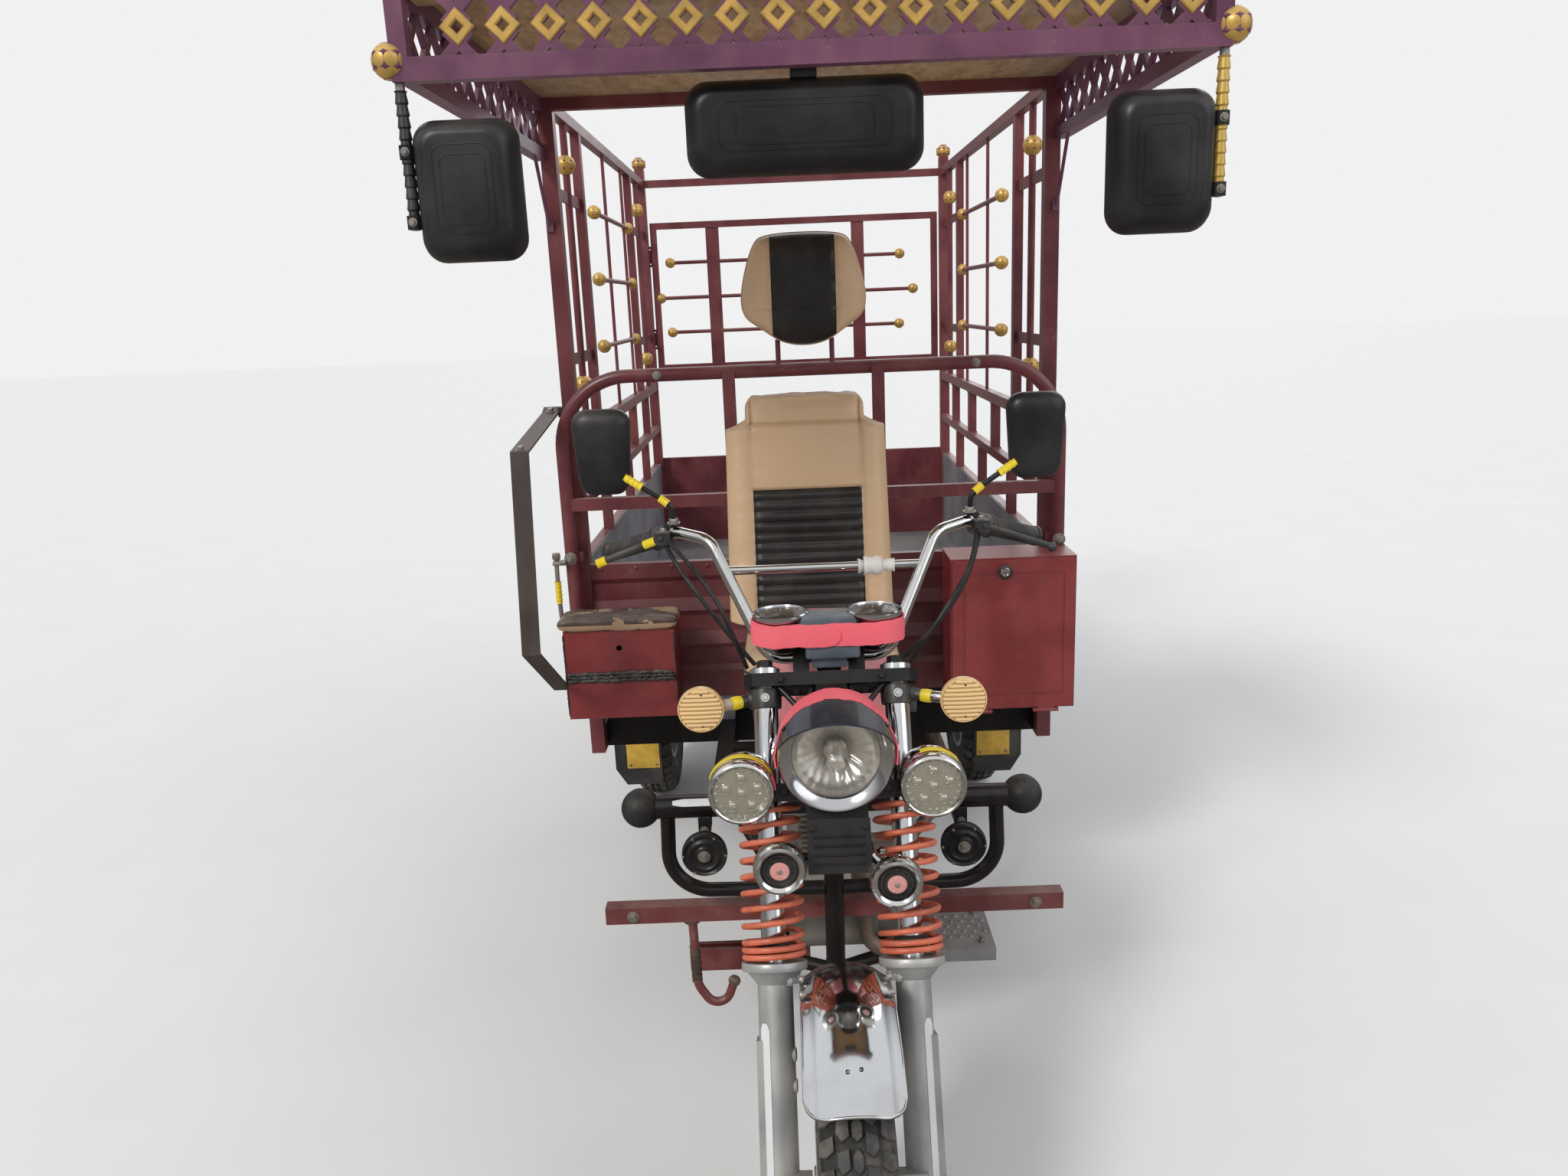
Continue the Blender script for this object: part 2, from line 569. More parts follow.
def on_tube(side, up):
    """A place on the axis of a fork tube, with its Z axis along the tube."""
    return Matrix.Translation(on_fork(side * TUBE_X, 0, up)) @ Matrix.Rotation(-rake, 4, "X")


yoke_black = painted("yoke_black_enamel", (0.005, 0.005, 0.006), bare=(0.05, 0.036, 0.03), wear=0.12,
                     dust=0.04, scale=14.0, gloss=0.2, coat=0.0, shine=0.3)
dress(yoke_black, "fork_yokes")
dress(chromed("fork_tube_chrome", (0.58, 0.59, 0.6), 0.5, 16.0), "fork_tubes")
slider_silver = painted("slider_silver_paint", (0.46, 0.47, 0.46), bare=(0.26, 0.25, 0.23), wear=0.2,
                        dust=0.22, scale=10.0, coat=0.2, metallic=0.35)
dress(slider_silver, "fork_sliders")
STRIP_R = 0.0281
strip_white = dusted("reflective_strip_white", (0.74, 0.75, 0.76), dust=0.25, scale=18.0, gloss=0.25,
                     relief=0.1)
made = bmesh.new()
for side in (-1, 1):
    rings = []
    for up, width in ((-0.01, 0.5), (0.0, 1.0), (0.12, 1.0), (0.236, 1.0), (0.246, 0.5)):
        ring = []
        for turn, lift in ((-18, 0.0), (-18, 0.0009), (0, 0.0012), (18, 0.0009), (18, 0.0)):
            angle = radians(-90 + side * 40 + turn * width)
            x, back = (STRIP_R + lift) * cos(angle), (STRIP_R + lift) * sin(angle)
            ring.append(made.verts.new(on_fork(side * TUBE_X + x, back, up)))
        rings.append(ring)
    joined_rings(made, rings)
put_piece("slider_strips", made, (strip_white,), "steering", "slider_alloy")
made = bmesh.new()
for side in (-1, 1):
    turned(made, on_tube(side, 0.326), mm(51.9, -1.8, 52.8, 0, 52.8, 9, 51.9, 11.2, 50, 10.8))
    for up in (0.15, 0.196):
        turned(made, facing(on_fork(side * 0.0825, -0.004, up), (-side, 0, 0)),
               mm(12, -6, 11.5, 1, 8, 3, 0, 3.4), 18)
    hex_bolt(made, on_fork(side * 0.144, -0.02, 0.0), (side, 0, 0), 0.02)
    hex_bolt(made, on_fork(side * 0.086, -0.021, 0.309), FORK_FRONT, 0.01)
put_piece("slider_collars", made, (slider_silver,), "steering", "slider_alloy")
made = bmesh.new()
for side in (-1, 1):
    for up in (0.35, 0.364):
        turned(made, on_tube(side, up), mm(20.7, -6, 26.5, -5, 26.8, 4, 23.5, 6, 20.7, 6), 32)
put_piece("dust_cuffs", made, (groove_rubber,), "steering", "grip_rubber")
made = bmesh.new()
for height in (0.486, 0.5, 0.514, 0.528):
    left, right = on_fork(-0.04, -0.0862, height), on_fork(0.04, -0.0862, height)
    swept(made, (left, left.lerp(right, 0.5), right), 0.0022, 8)
for x in (-0.041, 0.041):
    hex_bolt(made, on_fork(x, -0.0862, 0.543), FORK_FRONT, 0.01)
for side in (-1, 1):
    for up, back in ((0.602, -0.0345), (0.786, -0.0345)):
        hex_bolt(made, on_fork(side * 0.084, back, up), FORK_FRONT, 0.012)
    hex_bolt(made, on_fork(side * TUBE_X, 0, 0.8073), FORK_UP, 0.024)
hex_bolt(made, LEAN @ Vector((0, 0.065, 0.8092)), FORK_UP, 0.026)
put_piece("yoke_ribs_and_bolts", made, (yoke_black,), "steering", "yoke_black")

# Fork springs: wound from round wire in orange paint, which has chipped where the coils rub. The
# turns are open above and lie close at the foot, where two of them sit on the slider's collar.
spring_orange = painted("spring_orange_paint", (0.7, 0.14, 0.062), bare=(0.2, 0.09, 0.05), wear=0.3,
                        dust=0.22, scale=26.0, edge=0.001, gloss=0.34, coat=0.25)
made = bmesh.new()
for side in (-1, 1):
    points = []
    turns, parts = 11.0, 26
    for i in range(int(turns * parts) + 1):
        turn = i / parts
        share = turn / turns
        if turn < 2.2:
            up = 0.3425 + 0.0112 * turn
        elif turn > 10.2:
            up = 0.5818 - 0.013 * (turns - turn)
        else:
            foot, top = 0.3425 + 0.0112 * 2.2, 0.5818 - 0.013 * 0.8
            up = foot + (top - foot) * (turn - 2.2) / 8.0
        angle = tau * turn + (0.4 if side > 0 else 2.2)
        points.append(on_fork(side * TUBE_X + 0.047 * cos(angle), 0.047 * sin(angle), up))
    swept(made, points, 0.0048)
put_piece("fork_coils", made, (spring_orange,), "steering", "spring_orange", 60, "fork_springs")

# Front mudguard: one bright pressing that follows the tyre, with a step along both edges, a rolled
# rim, rounded corners in front and two drilled holes.
mudguard_chrome = chromed("mudguard_chrome", (0.6, 0.61, 0.62), 0.3, 7.0)
GUARD_HALF, GUARD_R = 0.069, 0.333
made = bmesh.new()
columns, rows = 33, 64
grid = []
for i in range(columns):
    x = -GUARD_HALF + 2 * GUARD_HALF * i / (columns - 1)
    near = max(0.0, abs(x) - (GUARD_HALF - 0.034)) / 0.034
    rounding = 0.034 * (1 - sqrt(max(0.0, 1 - near * near)))
    first, last = -33 + degrees(rounding / GUARD_R), 67 - degrees(0.5 * rounding / GUARD_R)
    drop = 0.022 * (x / GUARD_HALF) ** 2
    step = 0.0022 * min(1.0, max(0.0, (abs(x) - 0.05) / 0.004))
    column = []
    for k in range(rows):
        angle = radians(first + (last - first) * k / (rows - 1))
        out = GUARD_R - 0.0006 - drop - step
        column.append(Vector((x, FRONT_Y + out * sin(angle), WHEEL_R + out * cos(angle))))
    grid.append(column)
shell = []
for inward in (0.0, 0.0019):
    shell.append([[made.verts.new(p + (Vector((p.x * 0.5, FRONT_Y, WHEEL_R)) - p).normalized() * inward)
                   for p in column] for column in grid])
for layer in shell:
    joined_rings(made, layer, closed=False)
outline = [(i, 0) for i in range(columns)] + [(columns - 1, k) for k in range(1, rows)]
outline += [(i, rows - 1) for i in range(columns - 2, -1, -1)] + [(0, k) for k in range(rows - 2, 0, -1)]
joined_rings(made, [[layer[i][k] for i, k in outline] for layer in shell])
edge_line = [grid[i][k] + (Vector((0, FRONT_Y, WHEEL_R)) - grid[i][k]).normalized() * 0.001
             for i, k in outline]
swept(made, edge_line, 0.0024, 8, loop=True)
put_piece("mudguard_shell", made, (mudguard_chrome,), "steering", "chrome", 50, "front_mudguard")
made = bmesh.new()
for x, angle in ((-0.009, -22.5), (0.01, -22.0)):
    out = GUARD_R + 0.0002
    turn = radians(angle)
    at = Vector((x, FRONT_Y + out * sin(turn), WHEEL_R + out * cos(turn)))
    turned(made, facing(at, at - Vector((x, FRONT_Y, WHEEL_R))),
           mm(2.6, -1.6, 3, 0, 2.2, 0.4, 1.8, -1.2, 0, -1.3), 14)
put_piece("mudguard_holes", made, (groove_rubber,), "steering", "chrome")
made = bmesh.new()
for side in (-1, 1):
    for angle in (8, 20):
        turn = radians(angle)
        out = GUARD_R - 0.018
        hex_bolt(made, (side * 0.0655, FRONT_Y + out * sin(turn), WHEEL_R + out * cos(turn)),
                 (side, sin(turn) * 0.4, cos(turn) * 0.4), 0.009)
put_piece("mudguard_bolts", made, (bolt_zinc,), "steering", "chrome")

# Headlight: a chromed bowl and ring with a facetted reflector, a bulb and fluted glass. A dark brow
# is riveted over its upper edge, and a pink rubber wrap goes round the bowl behind the brow.
LAMP_Y, LAMP_Z, LENS_R = -1.304, 0.914, 0.0705


def rolled(made, outline_a, outline_b, thickness):
    """A thin skin between two lines of points, with the same number of points in each."""
    layers = []
    for depth in (0.0, thickness):
        rows = []
        for share in (0.0, 0.2, 0.4, 0.6, 0.8, 1.0):
            row = []
            for first, second in zip(outline_a, outline_b):
                place = first.lerp(second, share)
                inward = (Vector((0, place.y, LAMP_Z)) - place).normalized()
                row.append(made.verts.new(place + inward * depth))
            rows.append(row)
        layers.append(rows)
    for rows in layers:
        joined_rings(made, rows, closed=False)
    for end in (0, -1):
        joined_rings(made, [layer[end] for layer in layers], closed=False)
        joined_rings(made, [[row[end] for row in layer] for layer in layers], closed=False)


lamp_chrome = chromed("lamp_chrome", (0.52, 0.52, 0.53), 0.35, 14.0)
lamp = facing((0, LAMP_Y, LAMP_Z), (0, 1, 0))
made = bmesh.new()
turned(made, lamp, mm(69, 16, 70.5, 10.5, 74, 7.5, 85, -1, 88.5, -2, 91.5, 2, 93, 8, 93, 16, 91.5, 20,
                      92.5, 21.5, 91.8, 26, 88.5, 38, 83, 50, 75, 63, 64, 76, 49, 88, 30, 97, 0, 101), 72)
for side in (-1, 1):
    swept(made, ((side * 0.09, -1.262, 0.905), (side * 0.0915, -1.235, 0.903),
                 (side * 0.091, -1.19, 0.905)), (0.011, 0.01, 0.008), 10)
    hex_bolt(made, (side * 0.0925, -1.25, 0.905), (side, 0, 0), 0.015)
put_piece("headlight_bowl", made, (lamp_chrome,), "steering", "chrome", 40, "headlight")

reflector = dusted("lamp_reflector", (0.8, 0.77, 0.71), dust=0.06, scale=30.0, gloss=0.15, relief=0.1,
                   Metallic=0.75)
made = bmesh.new()
rings = []
for k in range(9):
    share = k / 8
    radius = LENS_R - 0.054 * share
    depth = 0.015 + 0.042 * share ** 0.62
    ring = []
    for angle in evenly(96):
        flute = 0.0028 * abs(sin(angle * 12)) * (1 - share * 0.6) * (1.0 if k % 2 else 0.35)
        ring.append(made.verts.new(lamp @ polar(radius, angle, depth - flute)))
    rings.append(ring)
joined_rings(made, rings)
turned(made, lamp, mm(16.5, 54, 18.5, 40, 15, 38, 14, 50, 0, 50), 28)
turned(made, lamp @ Matrix.Translation((0, -0.02, 0)), mm(12, 42, 14, 32, 11, 30, 0, 29), 24)
put_piece("headlight_reflector", made, (reflector,), "steering", "chrome", 30)

clear_glass = dusted("lamp_glass_clear", (0.93, 0.92, 0.9), dust=0.05, scale=9.0, gloss=0.03, relief=0.06,
                     Transmission_Weight=1.0, IOR=1.45, Alpha=0.4)
made = bmesh.new()
turned(made, lamp @ Matrix.Translation((0, 0.002, 0)), mm(0, 18, 4.5, 19, 6, 26, 5.5, 40), 16)
put_piece("headlight_bulb", made, (clear_glass,), "steering", "lamp_glass")
made = bmesh.new()
FLUTE_PITCH = 0.0085
for back in (False, True):
    rings = []
    for k in range(13):
        radius = LENS_R * (k / 12)
        dome = 0.0045 * (1 - (k / 12) ** 2)
        ring = []
        for angle in evenly(120 if k else 1):
            x, z = radius * cos(angle), radius * sin(angle)
            flute = 0.0
            if back and k < 12:
                flute = 0.0015 * sin(x * tau / FLUTE_PITCH)
            depth = 0.0115 - dome + (0.0036 + flute if back else 0.0)
            ring.append(made.verts.new(lamp @ Vector((x, z, depth))))
        rings.append(ring)
    joined_rings(made, rings)
put_piece("headlight_lens", made, (clear_glass,), "steering", "lamp_glass", 60, "headlight_glass")

brow_navy = dusted("brow_navy_plastic", (0.01, 0.014, 0.026), dust=0.16, scale=9.0, gloss=0.22,
                   relief=0.1, Coat_Weight=0.4)
made = bmesh.new()
near, far = [], []
for i in range(41):
    turn = radians(-76 + 152 * i / 40)
    share = max(0.0, (cos(turn) - cos(radians(76))) / (1 - cos(radians(76))))
    near.append(Vector((0.095 * sin(turn), -1.296, LAMP_Z + 0.095 * cos(turn))))
    far.append(Vector((0.0925 * sin(turn), -1.306 - 0.04 * share ** 0.7, LAMP_Z + 0.0225 + 0.05 * share)))
rolled(made, near, far, 0.0022)
swept(made, [point + Vector((0, 0.0008, -0.0012)) for point in far], 0.0018, 8)
for turn in (-58, 58):
    angle = radians(turn)
    at = Vector((0.0948 * sin(angle), -1.2985, LAMP_Z + 0.0948 * cos(angle)))
    turned(made, facing(at, at - Vector((0, at.y, LAMP_Z))), mm(4, 0, 4, 1, 2.8, 2, 0, 2.2), 14)
put_piece("headlight_brow", made, (brow_navy,), "steering", "black_plastic", 40)
wrap_pink = dusted("rubber_wrap_pink", (0.9, 0.135, 0.175), dust=0.1, scale=11.0, gloss=0.48, relief=0.25)
made = bmesh.new()
near, far = [], []
for i in range(49):
    turn = radians(-100 + 200 * i / 48)
    wave = 0.0012 * sin(i * 0.9) + 0.0009 * sin(i * 2.3 + 1)
    slim = 0.35 + 0.65 * max(0.0, cos(turn * 0.86))
    near.append(Vector(((0.0972 + wave * 0.4) * sin(turn), -1.296 + wave,
                        LAMP_Z + (0.0972 + wave * 0.4) * cos(turn))))
    far.append(Vector((0.0945 * sin(turn), -1.294 + 0.05 * slim + wave, LAMP_Z + 0.0945 * cos(turn))))
rolled(made, near, far, 0.0026)
put_piece("headlight_wrap", made, (wrap_pink,), "steering", "chrome", 50)

# Lamp bracket: black pressed steel between the fork tubes, with four struts and a junction box.
# It holds the headlight and hides most of the tank behind it.


def slab(made, low, high, bevel=0.002, mark=0):
    """A block between two corners with softened edges."""
    before = set(made.faces)
    size = [abs(b - a) for a, b in zip(low, high)]
    place = Matrix.Translation([(a + b) / 2 for a, b in zip(low, high)]) @ Matrix.Diagonal((*size, 1))
    cube = bmesh.ops.create_cube(made, size=1.0, matrix=place)
    edges = list(dict.fromkeys(edge for vert in cube["verts"] for edge in vert.link_edges))
    bmesh.ops.bevel(made, geom=edges, offset=bevel, segments=2, profile=0.5, affect="EDGES")
    for face in made.faces:
        if face not in before:
            face.material_index = mark


made = bmesh.new()
slab(made, (-0.027, -1.196, 0.946), (0.027, -1.15, 0.988), 0.004)
slab(made, (-0.086, -1.152, 0.964), (0.086, -1.146, 0.984))
for side in (-1, 1):
    for near_x, far_x, z in ((0.026, 0.086, 0.925), (0.062, 0.03, 0.928)):
        swept(made, ((side * far_x, -1.15, 0.98), (side * (far_x + near_x) / 2, -1.176, (0.98 + z) / 2),
                     (side * near_x, -1.205, z)), 0.0048, 10)
    hex_bolt(made, (side * 0.058, -1.152, 0.974), (0, -1, 0), 0.01)
put_piece("lamp_bracket", made, (yoke_black,), "steering", "yoke_black")

# Extra lamps: two deep chromed spotlights with clusters of small diodes behind pressed glass, and
# two shallow ring lamps, whose black rings surround a pink lens held by one screw.
tape_yellow = dusted("tape_yellow", (0.82, 0.62, 0.012), dust=0.2, scale=22.0, gloss=0.4, relief=0.25)
diode_glass = dusted("diode_lens", (0.52, 0.5, 0.41), dust=0.08, scale=30.0, gloss=0.16, relief=0.2,
                     Metallic=0.7, Coat_Weight=0.9)
spot_chrome = chromed("spotlight_chrome", (0.62, 0.62, 0.6), 0.4, 22.0)
SPOTS = {side: facing((side * 0.15, -1.308, 0.861), (0, 1, 0)) for side in (-1, 1)}
RING_LAMPS, RING_LAMP_Y = ((-0.094, 0.765), (0.084, 0.736)), -1.379
made = bmesh.new()
for side in (-1, 1):
    spot = SPOTS[side]
    turned(made, spot, mm(44.5, 6, 45.5, 0.5, 47.5, -1, 50, 0, 52.2, 3, 53, 8, 53, 16, 51.8, 18.5, 52.6,
                          20, 52.8, 44, 50, 57, 43, 66, 30, 72, 0, 74), 56)
    foot = on_fork(side * 0.124, -0.02, 0.648)
    swept(made, ((side * 0.15, -1.245, 0.868), (side * 0.142, -1.23, 0.868), foot),
          (0.009, 0.0085, 0.008))
for x, z in RING_LAMPS:
    ring = facing((x, RING_LAMP_Y, z), (0, 1, 0))
    turned(made, ring, mm(27.5, 8, 28, 3, 30, -0.2, 34.5, -2.6, 38.5, -1, 40.5, 4, 41, 12, 40, 20, 35, 28,
                          24, 33, 0, 34), 56)
    swept(made, ((x, -1.348, z - 0.002), (x * 0.93, -1.33, z), (copysign(0.0515, x), -1.3165, 0.754)),
          (0.009, 0.008, 0.008))
    hex_bolt(made, (copysign(0.066, x), -1.3235, 0.7635), (0, 0, 1), 0.01)
put_piece("fork_lamp_shells", made, (spot_chrome,), "steering", "chrome", 40, "fork_lamps")
made = bmesh.new()
for side in (-1, 1):
    spot = SPOTS[side]
    turned(made, spot, mm(44.8, 5, 30, 3.6, 12, 3, 0, 3), 48)
    for radius, count in ((0.0, 1), (0.026, 5)):
        for angle in evenly(count):
            dome = spot @ Matrix.Translation(polar(radius, angle + pi / 2, 0.0034))
            turned(made, dome, mm(10, 0, 9.8, -1.2, 7.8, -1.6, 7.2, -0.6, 5.2, -1.8, 2.6, -3, 0, -3.4),
                   20)
    for angle in evenly(22):
        bump = spot @ Matrix.Translation(polar(0.04, angle, 0.0042))
        turned(made, bump, mm(3.4, 0, 2.4, -1.4, 0, -2), 8)
put_piece("spotlight_diodes", made, (diode_glass,), "steering", "lamp_glass", 40)
made = bmesh.new()
for side, first, last, mark in ((-1, 20, 160, 0), (1, 70, 140, 0), (-1, 152, 178, 1)):
    spot = SPOTS[side]
    low, high = (0.0215, 0.0345) if mark == 0 else (0.006, 0.03)
    turned(made, spot, ((0.0532, low), (0.0539, low + 0.0004), (0.0539, high), (0.0532, high)), 36, mark,
           (first, last))
put_piece("spotlight_tape", made, (tape_yellow, wrap_pink), "steering", "chrome")
ring_black = dusted("ring_lamp_black", (0.02, 0.019, 0.019), dust=0.35, scale=26.0, gloss=0.4, relief=0.2)
ring_pink = dusted("ring_lamp_lens", (0.62, 0.27, 0.24), dust=0.25, scale=24.0, gloss=0.28, relief=0.15,
                   Coat_Weight=0.5)
made = bmesh.new()
for x, z in RING_LAMPS:
    ring = facing((x, RING_LAMP_Y, z), (0, 1, 0))
    turned(made, ring, mm(28.2, 4, 27, 6.2, 25.2, 6.2, 24.6, 3.6, 22.8, 3.6, 22.2, 6.2, 20, 6.6, 19.4,
                          4.2, 17.2, 4.2, 16.4, 1, 15, 0.6, 15, 5), 44)
    for angle in evenly(12):
        dot = ring @ Matrix.Translation(polar(0.0211, angle, 0.0064))
        turned(made, dot, mm(1.7, 0, 1.2, -1.2, 0, -1.4), 8)
    turned(made, ring, mm(15, 4, 14.8, 0.2, 12, -1, 7, -1.6, 0, -1.8), 36, 1)
    for i in range(3):
        angle = pi * i / 3
        swept(made, [ring @ polar(reach, angle, -0.003) for reach in (0.0034, -0.0034)], 0.0006, 6, 2)
    turned(made, ring, mm(4.2, -1.6, 4.2, -2.6, 3.4, -3.2, 0, -3.2), 16, 2)
put_piece("ring_lamp_faces", made, (ring_black, ring_pink, bolt_zinc), "steering", "lamp_glass")

# Turn signals: round beige lenses with fine ribs and two screws, on stalks that are bound with
# yellow and black tape. A black clamp holds each on its fork tube.
SIGNAL_X, SIGNAL_Y, SIGNAL_Z = 0.216, -1.184, 0.957
signal_lens = dusted("signal_lens_beige", (0.78, 0.53, 0.245), dust=0.22, scale=16.0, gloss=0.3,
                     relief=0.15, Coat_Weight=0.35)
stalk_chrome = chromed("signal_stalk_chrome", (0.58, 0.58, 0.57), 0.6, 30.0)
made = bmesh.new()
for side in (-1, 1):
    middle = Vector((side * SIGNAL_X, SIGNAL_Y, SIGNAL_Z))
    lens = facing(middle, (0, 1, 0))
    turned(made, lens, mm(35, 1, 36.2, -1.6, 37.6, -1.2, 38.5, 1.6, 38.5, 10, 37, 11.2, 37.2, 14, 34.5,
                          24, 27, 31, 0, 34), 48)
    width, count = 0.0352, 10
    for i in range(count):
        z = -width * 0.92 + 1.84 * width * i / (count - 1)
        reach = sqrt(max(1e-6, width ** 2 - z ** 2)) * 0.985
        lift = lens @ Vector((0, z, 0)) - middle
        ends = [Vector((side * SIGNAL_X + end * reach, SIGNAL_Y, SIGNAL_Z)) + lift for end in (-1, 1)]
        bulge = 0.0014 * (1 - (z / width) ** 2)
        points = [ends[0], ends[0].lerp(ends[1], 0.5) + Vector((0, -bulge, 0)), ends[1]]
        swept(made, points, 0.0033, 8)
    turned(made, lens, mm(35.2, 1.5, 20, 0.4, 0, 0))
put_piece("signal_lenses", made, (signal_lens,), "steering", "signal_amber", 40, "turn_signals")
tape_black = dusted("tape_black", (0.014, 0.014, 0.015), dust=0.3, scale=26.0, gloss=0.4)
made = bmesh.new()
for side in (-1, 1):
    for z in (-0.026, 0.026):
        place = facing((side * SIGNAL_X + 0.002, -1.1855, SIGNAL_Z + z), (0, -1, 0))
        turned(made, place, mm(2.6, 0, 2.6, 1.4, 1.8, 2.1, 0, 2.1), 14, 1)
    inner, outer = on_fork(side * 0.134, 0, 0.757), Vector((side * 0.184, -1.1665, SIGNAL_Z))
    shares = ((0.0, 0.34, 0.0108, 1), (0.34, 0.66, 0.0112, 0), (0.66, 1.0, 0.0098, 2 if side > 0 else 3))
    for first, last, radius, mark in shares:
        a, b = inner.lerp(outer, first), inner.lerp(outer, last)
        points = [a.lerp(b, k / 4) for k in range(5)]
        swept(made, points, [radius * 0.94, radius, radius * 1.03, radius, radius * 0.94], 20, mark)
    turned(made, on_tube(side, 0.757), mm(20.9, -17, 26.2, -16, 27, -4, 27, 6, 26.2, 16, 20.9, 17), 30, 1)
    turned(made, facing(on_fork(side * 0.131, 0, 0.757), (side, 0.15, -0.1)),
           mm(0, -4, 15.5, -3, 16, 4, 13, 8, 10.5, 9), 20, 1)
    hex_bolt(made, on_fork(side * TUBE_X, -0.0262, 0.757), FORK_FRONT, 0.009, 2)
beige_plastic = dusted("signal_stalk_plastic", (0.5, 0.4, 0.27), dust=0.3, scale=26.0, gloss=0.4)
put_piece("signal_stalks", made, (tape_yellow, tape_black, stalk_chrome, beige_plastic), "steering",
          "signal_amber", 35)

# Gauges: two chromed cups with black dials under glass, a blue-grey plate between them and a pink
# rubber belt round both, whose end lies over it in front.
GAUGE_X, GAUGE_Y = 0.08, -1.072
CUPS = {side: Matrix.Translation((side * GAUGE_X, GAUGE_Y, 1.022)) for side in (-1, 1)}
dial_black = dusted("dial_black", (0.016, 0.016, 0.018), dust=0.15, scale=12.0)
mark_white = dusted("dial_mark_white", (0.7, 0.7, 0.68), dust=0.1, scale=20.0)
plate_blue = painted("gauge_plate_blue_grey", (0.105, 0.15, 0.19), wear=0.25, scale=18.0, edge=0.002,
                     gloss=0.34)
made = bmesh.new()
for side in (-1, 1):
    cup = CUPS[side]
    turned(made, cup, mm(0, 0, 28, 0, 31, 2, 37, 12, 44.5, 21, 46.2, 28, 46.2, 34), 64)
    turned(made, cup, mm(46.2, 52, 46.5, 56.5, 47.8, 59, 48.2, 63, 47.2, 66.8, 44.5, 68, 42.8, 65.5, 42.4,
                         60), 64)
put_piece("gauge_cups", made, (lamp_chrome,), "steering", "chrome", 40, "gauges")
made = bmesh.new()
slab(made, (-0.04, -1.121, 1.0165), (0.052, -1.087, 1.0455), 0.004)
slab(made, (-0.058, -1.105, 1.043), (0.058, -1.047, 1.0865), 0.005)
slab(made, (-0.03, -1.1105, 0.998), (0.03, -1.0955, 1.02))
for x in (-0.024, 0.0, 0.024):
    turned(made, Matrix.Translation((x, -1.0705, 1.0865)), mm(6, -1, 5.8, 0.8, 4.2, 1.6, 0, 1.8), 18)
put_piece("gauge_plate", made, (plate_blue,), "steering", "chrome")
made = bmesh.new()
for side in (-1, 1):
    cup = CUPS[side]
    turned(made, cup, mm(42.5, 60.5, 36, 60, 0, 60), 48)
    for i in range(19):
        angle = radians(-40 + 260 * i / 18)
        inner = 0.029 if i % 3 == 0 else 0.033
        ends = [cup @ polar(reach, angle, 0.0604) for reach in (inner, 0.037)]
        swept(made, ends, 0.0007 if i % 3 else 0.0011, 6, 1)
    turned(made, cup, mm(6, 60.2, 5.6, 62.2, 3, 63, 0, 63), 18)
    needle = (cup @ Vector((0, 0, 0.0622)), cup @ polar(0.026, radians(212), 0.0618))
    swept(made, needle, (0.0012, 0.0006), 6, 1)
put_piece("gauge_dials", made, (dial_black, mark_white), "steering", "chrome", 30)
made = bmesh.new()
for side in (-1, 1):
    cup = CUPS[side]
    turned(made, cup, mm(42.4, 64.8, 30, 66.2, 0, 66.8), 48)
    turned(made, cup, mm(0, 65, 30, 64.4, 42.4, 63.2), 48)
put_piece("gauge_glasses", made, (clear_glass,), "steering", "chrome")
BELT_R = 0.049
BELT_SECTION = ((0.0, -1), (0.0026, -0.96), (0.003, 0.0), (0.0026, 0.96), (0.0, 1))
belt_line = []
for i in range(37):
    angle = radians(90 + 180 * i / 36)
    belt_line.append((-GAUGE_X + BELT_R * cos(angle), GAUGE_Y + BELT_R * sin(angle)))
for i in range(1, 40):
    belt_line.append((-GAUGE_X + 0.16 * i / 40, -1.1213 + 0.0012 * sin(i * 0.39)))
for i in range(37):
    angle = radians(-90 + 180 * i / 36)
    belt_line.append((GAUGE_X + BELT_R * cos(angle), GAUGE_Y + BELT_R * sin(angle)))
for i in range(1, 12):
    belt_line.append((GAUGE_X - 0.16 * i / 12, -1.0228))
made = bmesh.new()
for first, last, grow, low, high in (
    (0, len(belt_line), 0.0, 1.0385, 1.0785),
    (22, 62, 0.003, 1.0395, 1.0775),
):
    rings = []
    for i in range(first, last):
        x, y = belt_line[i]
        around = Vector((x - max(-GAUGE_X, min(GAUGE_X, x)), y - GAUGE_Y, 0)).normalized()
        end = min(1.0, (last - 1 - i) / 5) if grow else 1.0
        middle = (low + high) / 2
        tall = (high - low) / 2 * max(0.25, sqrt(1 - (1 - end) ** 2))
        wave = 0.0008 * sin(i * 0.33) + 0.0004 * sin(i * 0.9)
        base = Vector((x, y, middle + wave)) + around * grow
        rings.append([made.verts.new(base + around * out + Vector((0, 0, up * tall)))
                      for out, up in BELT_SECTION])
    if not grow:
        rings.append(rings[0])
    else:
        made.faces.new(rings[0])
        made.faces.new(rings[-1])
    joined_rings(made, rings)
put_piece("gauge_belt", made, (wrap_pink,), "steering", "chrome", 50)

# Handlebar: one bent chromed tube with a cross brace. A rag is wound on the brace and tape on the
# left lever, and ribs run round the grips.
dress(chromed("handlebar_chrome", (0.58, 0.58, 0.57), 0.45, 18.0), "handlebar")
grip_rubber = dusted("grip_rubber", (0.02, 0.02, 0.021), dust=0.3, scale=16.0)
dress(grip_rubber, "grips_levers")
BRACE, HOUSING_IN = (-0.98165, 1.143), 0.146
BAR_END, BAR_INNER = Vector((0.4, -0.842, 1.156)), Vector((0.262, -0.918, 1.204))
bar_out = (BAR_END - BAR_INNER).normalized()
tape_white = dusted("tape_white", (0.66, 0.63, 0.58), dust=0.35, scale=20.0, gloss=0.6, relief=0.5)


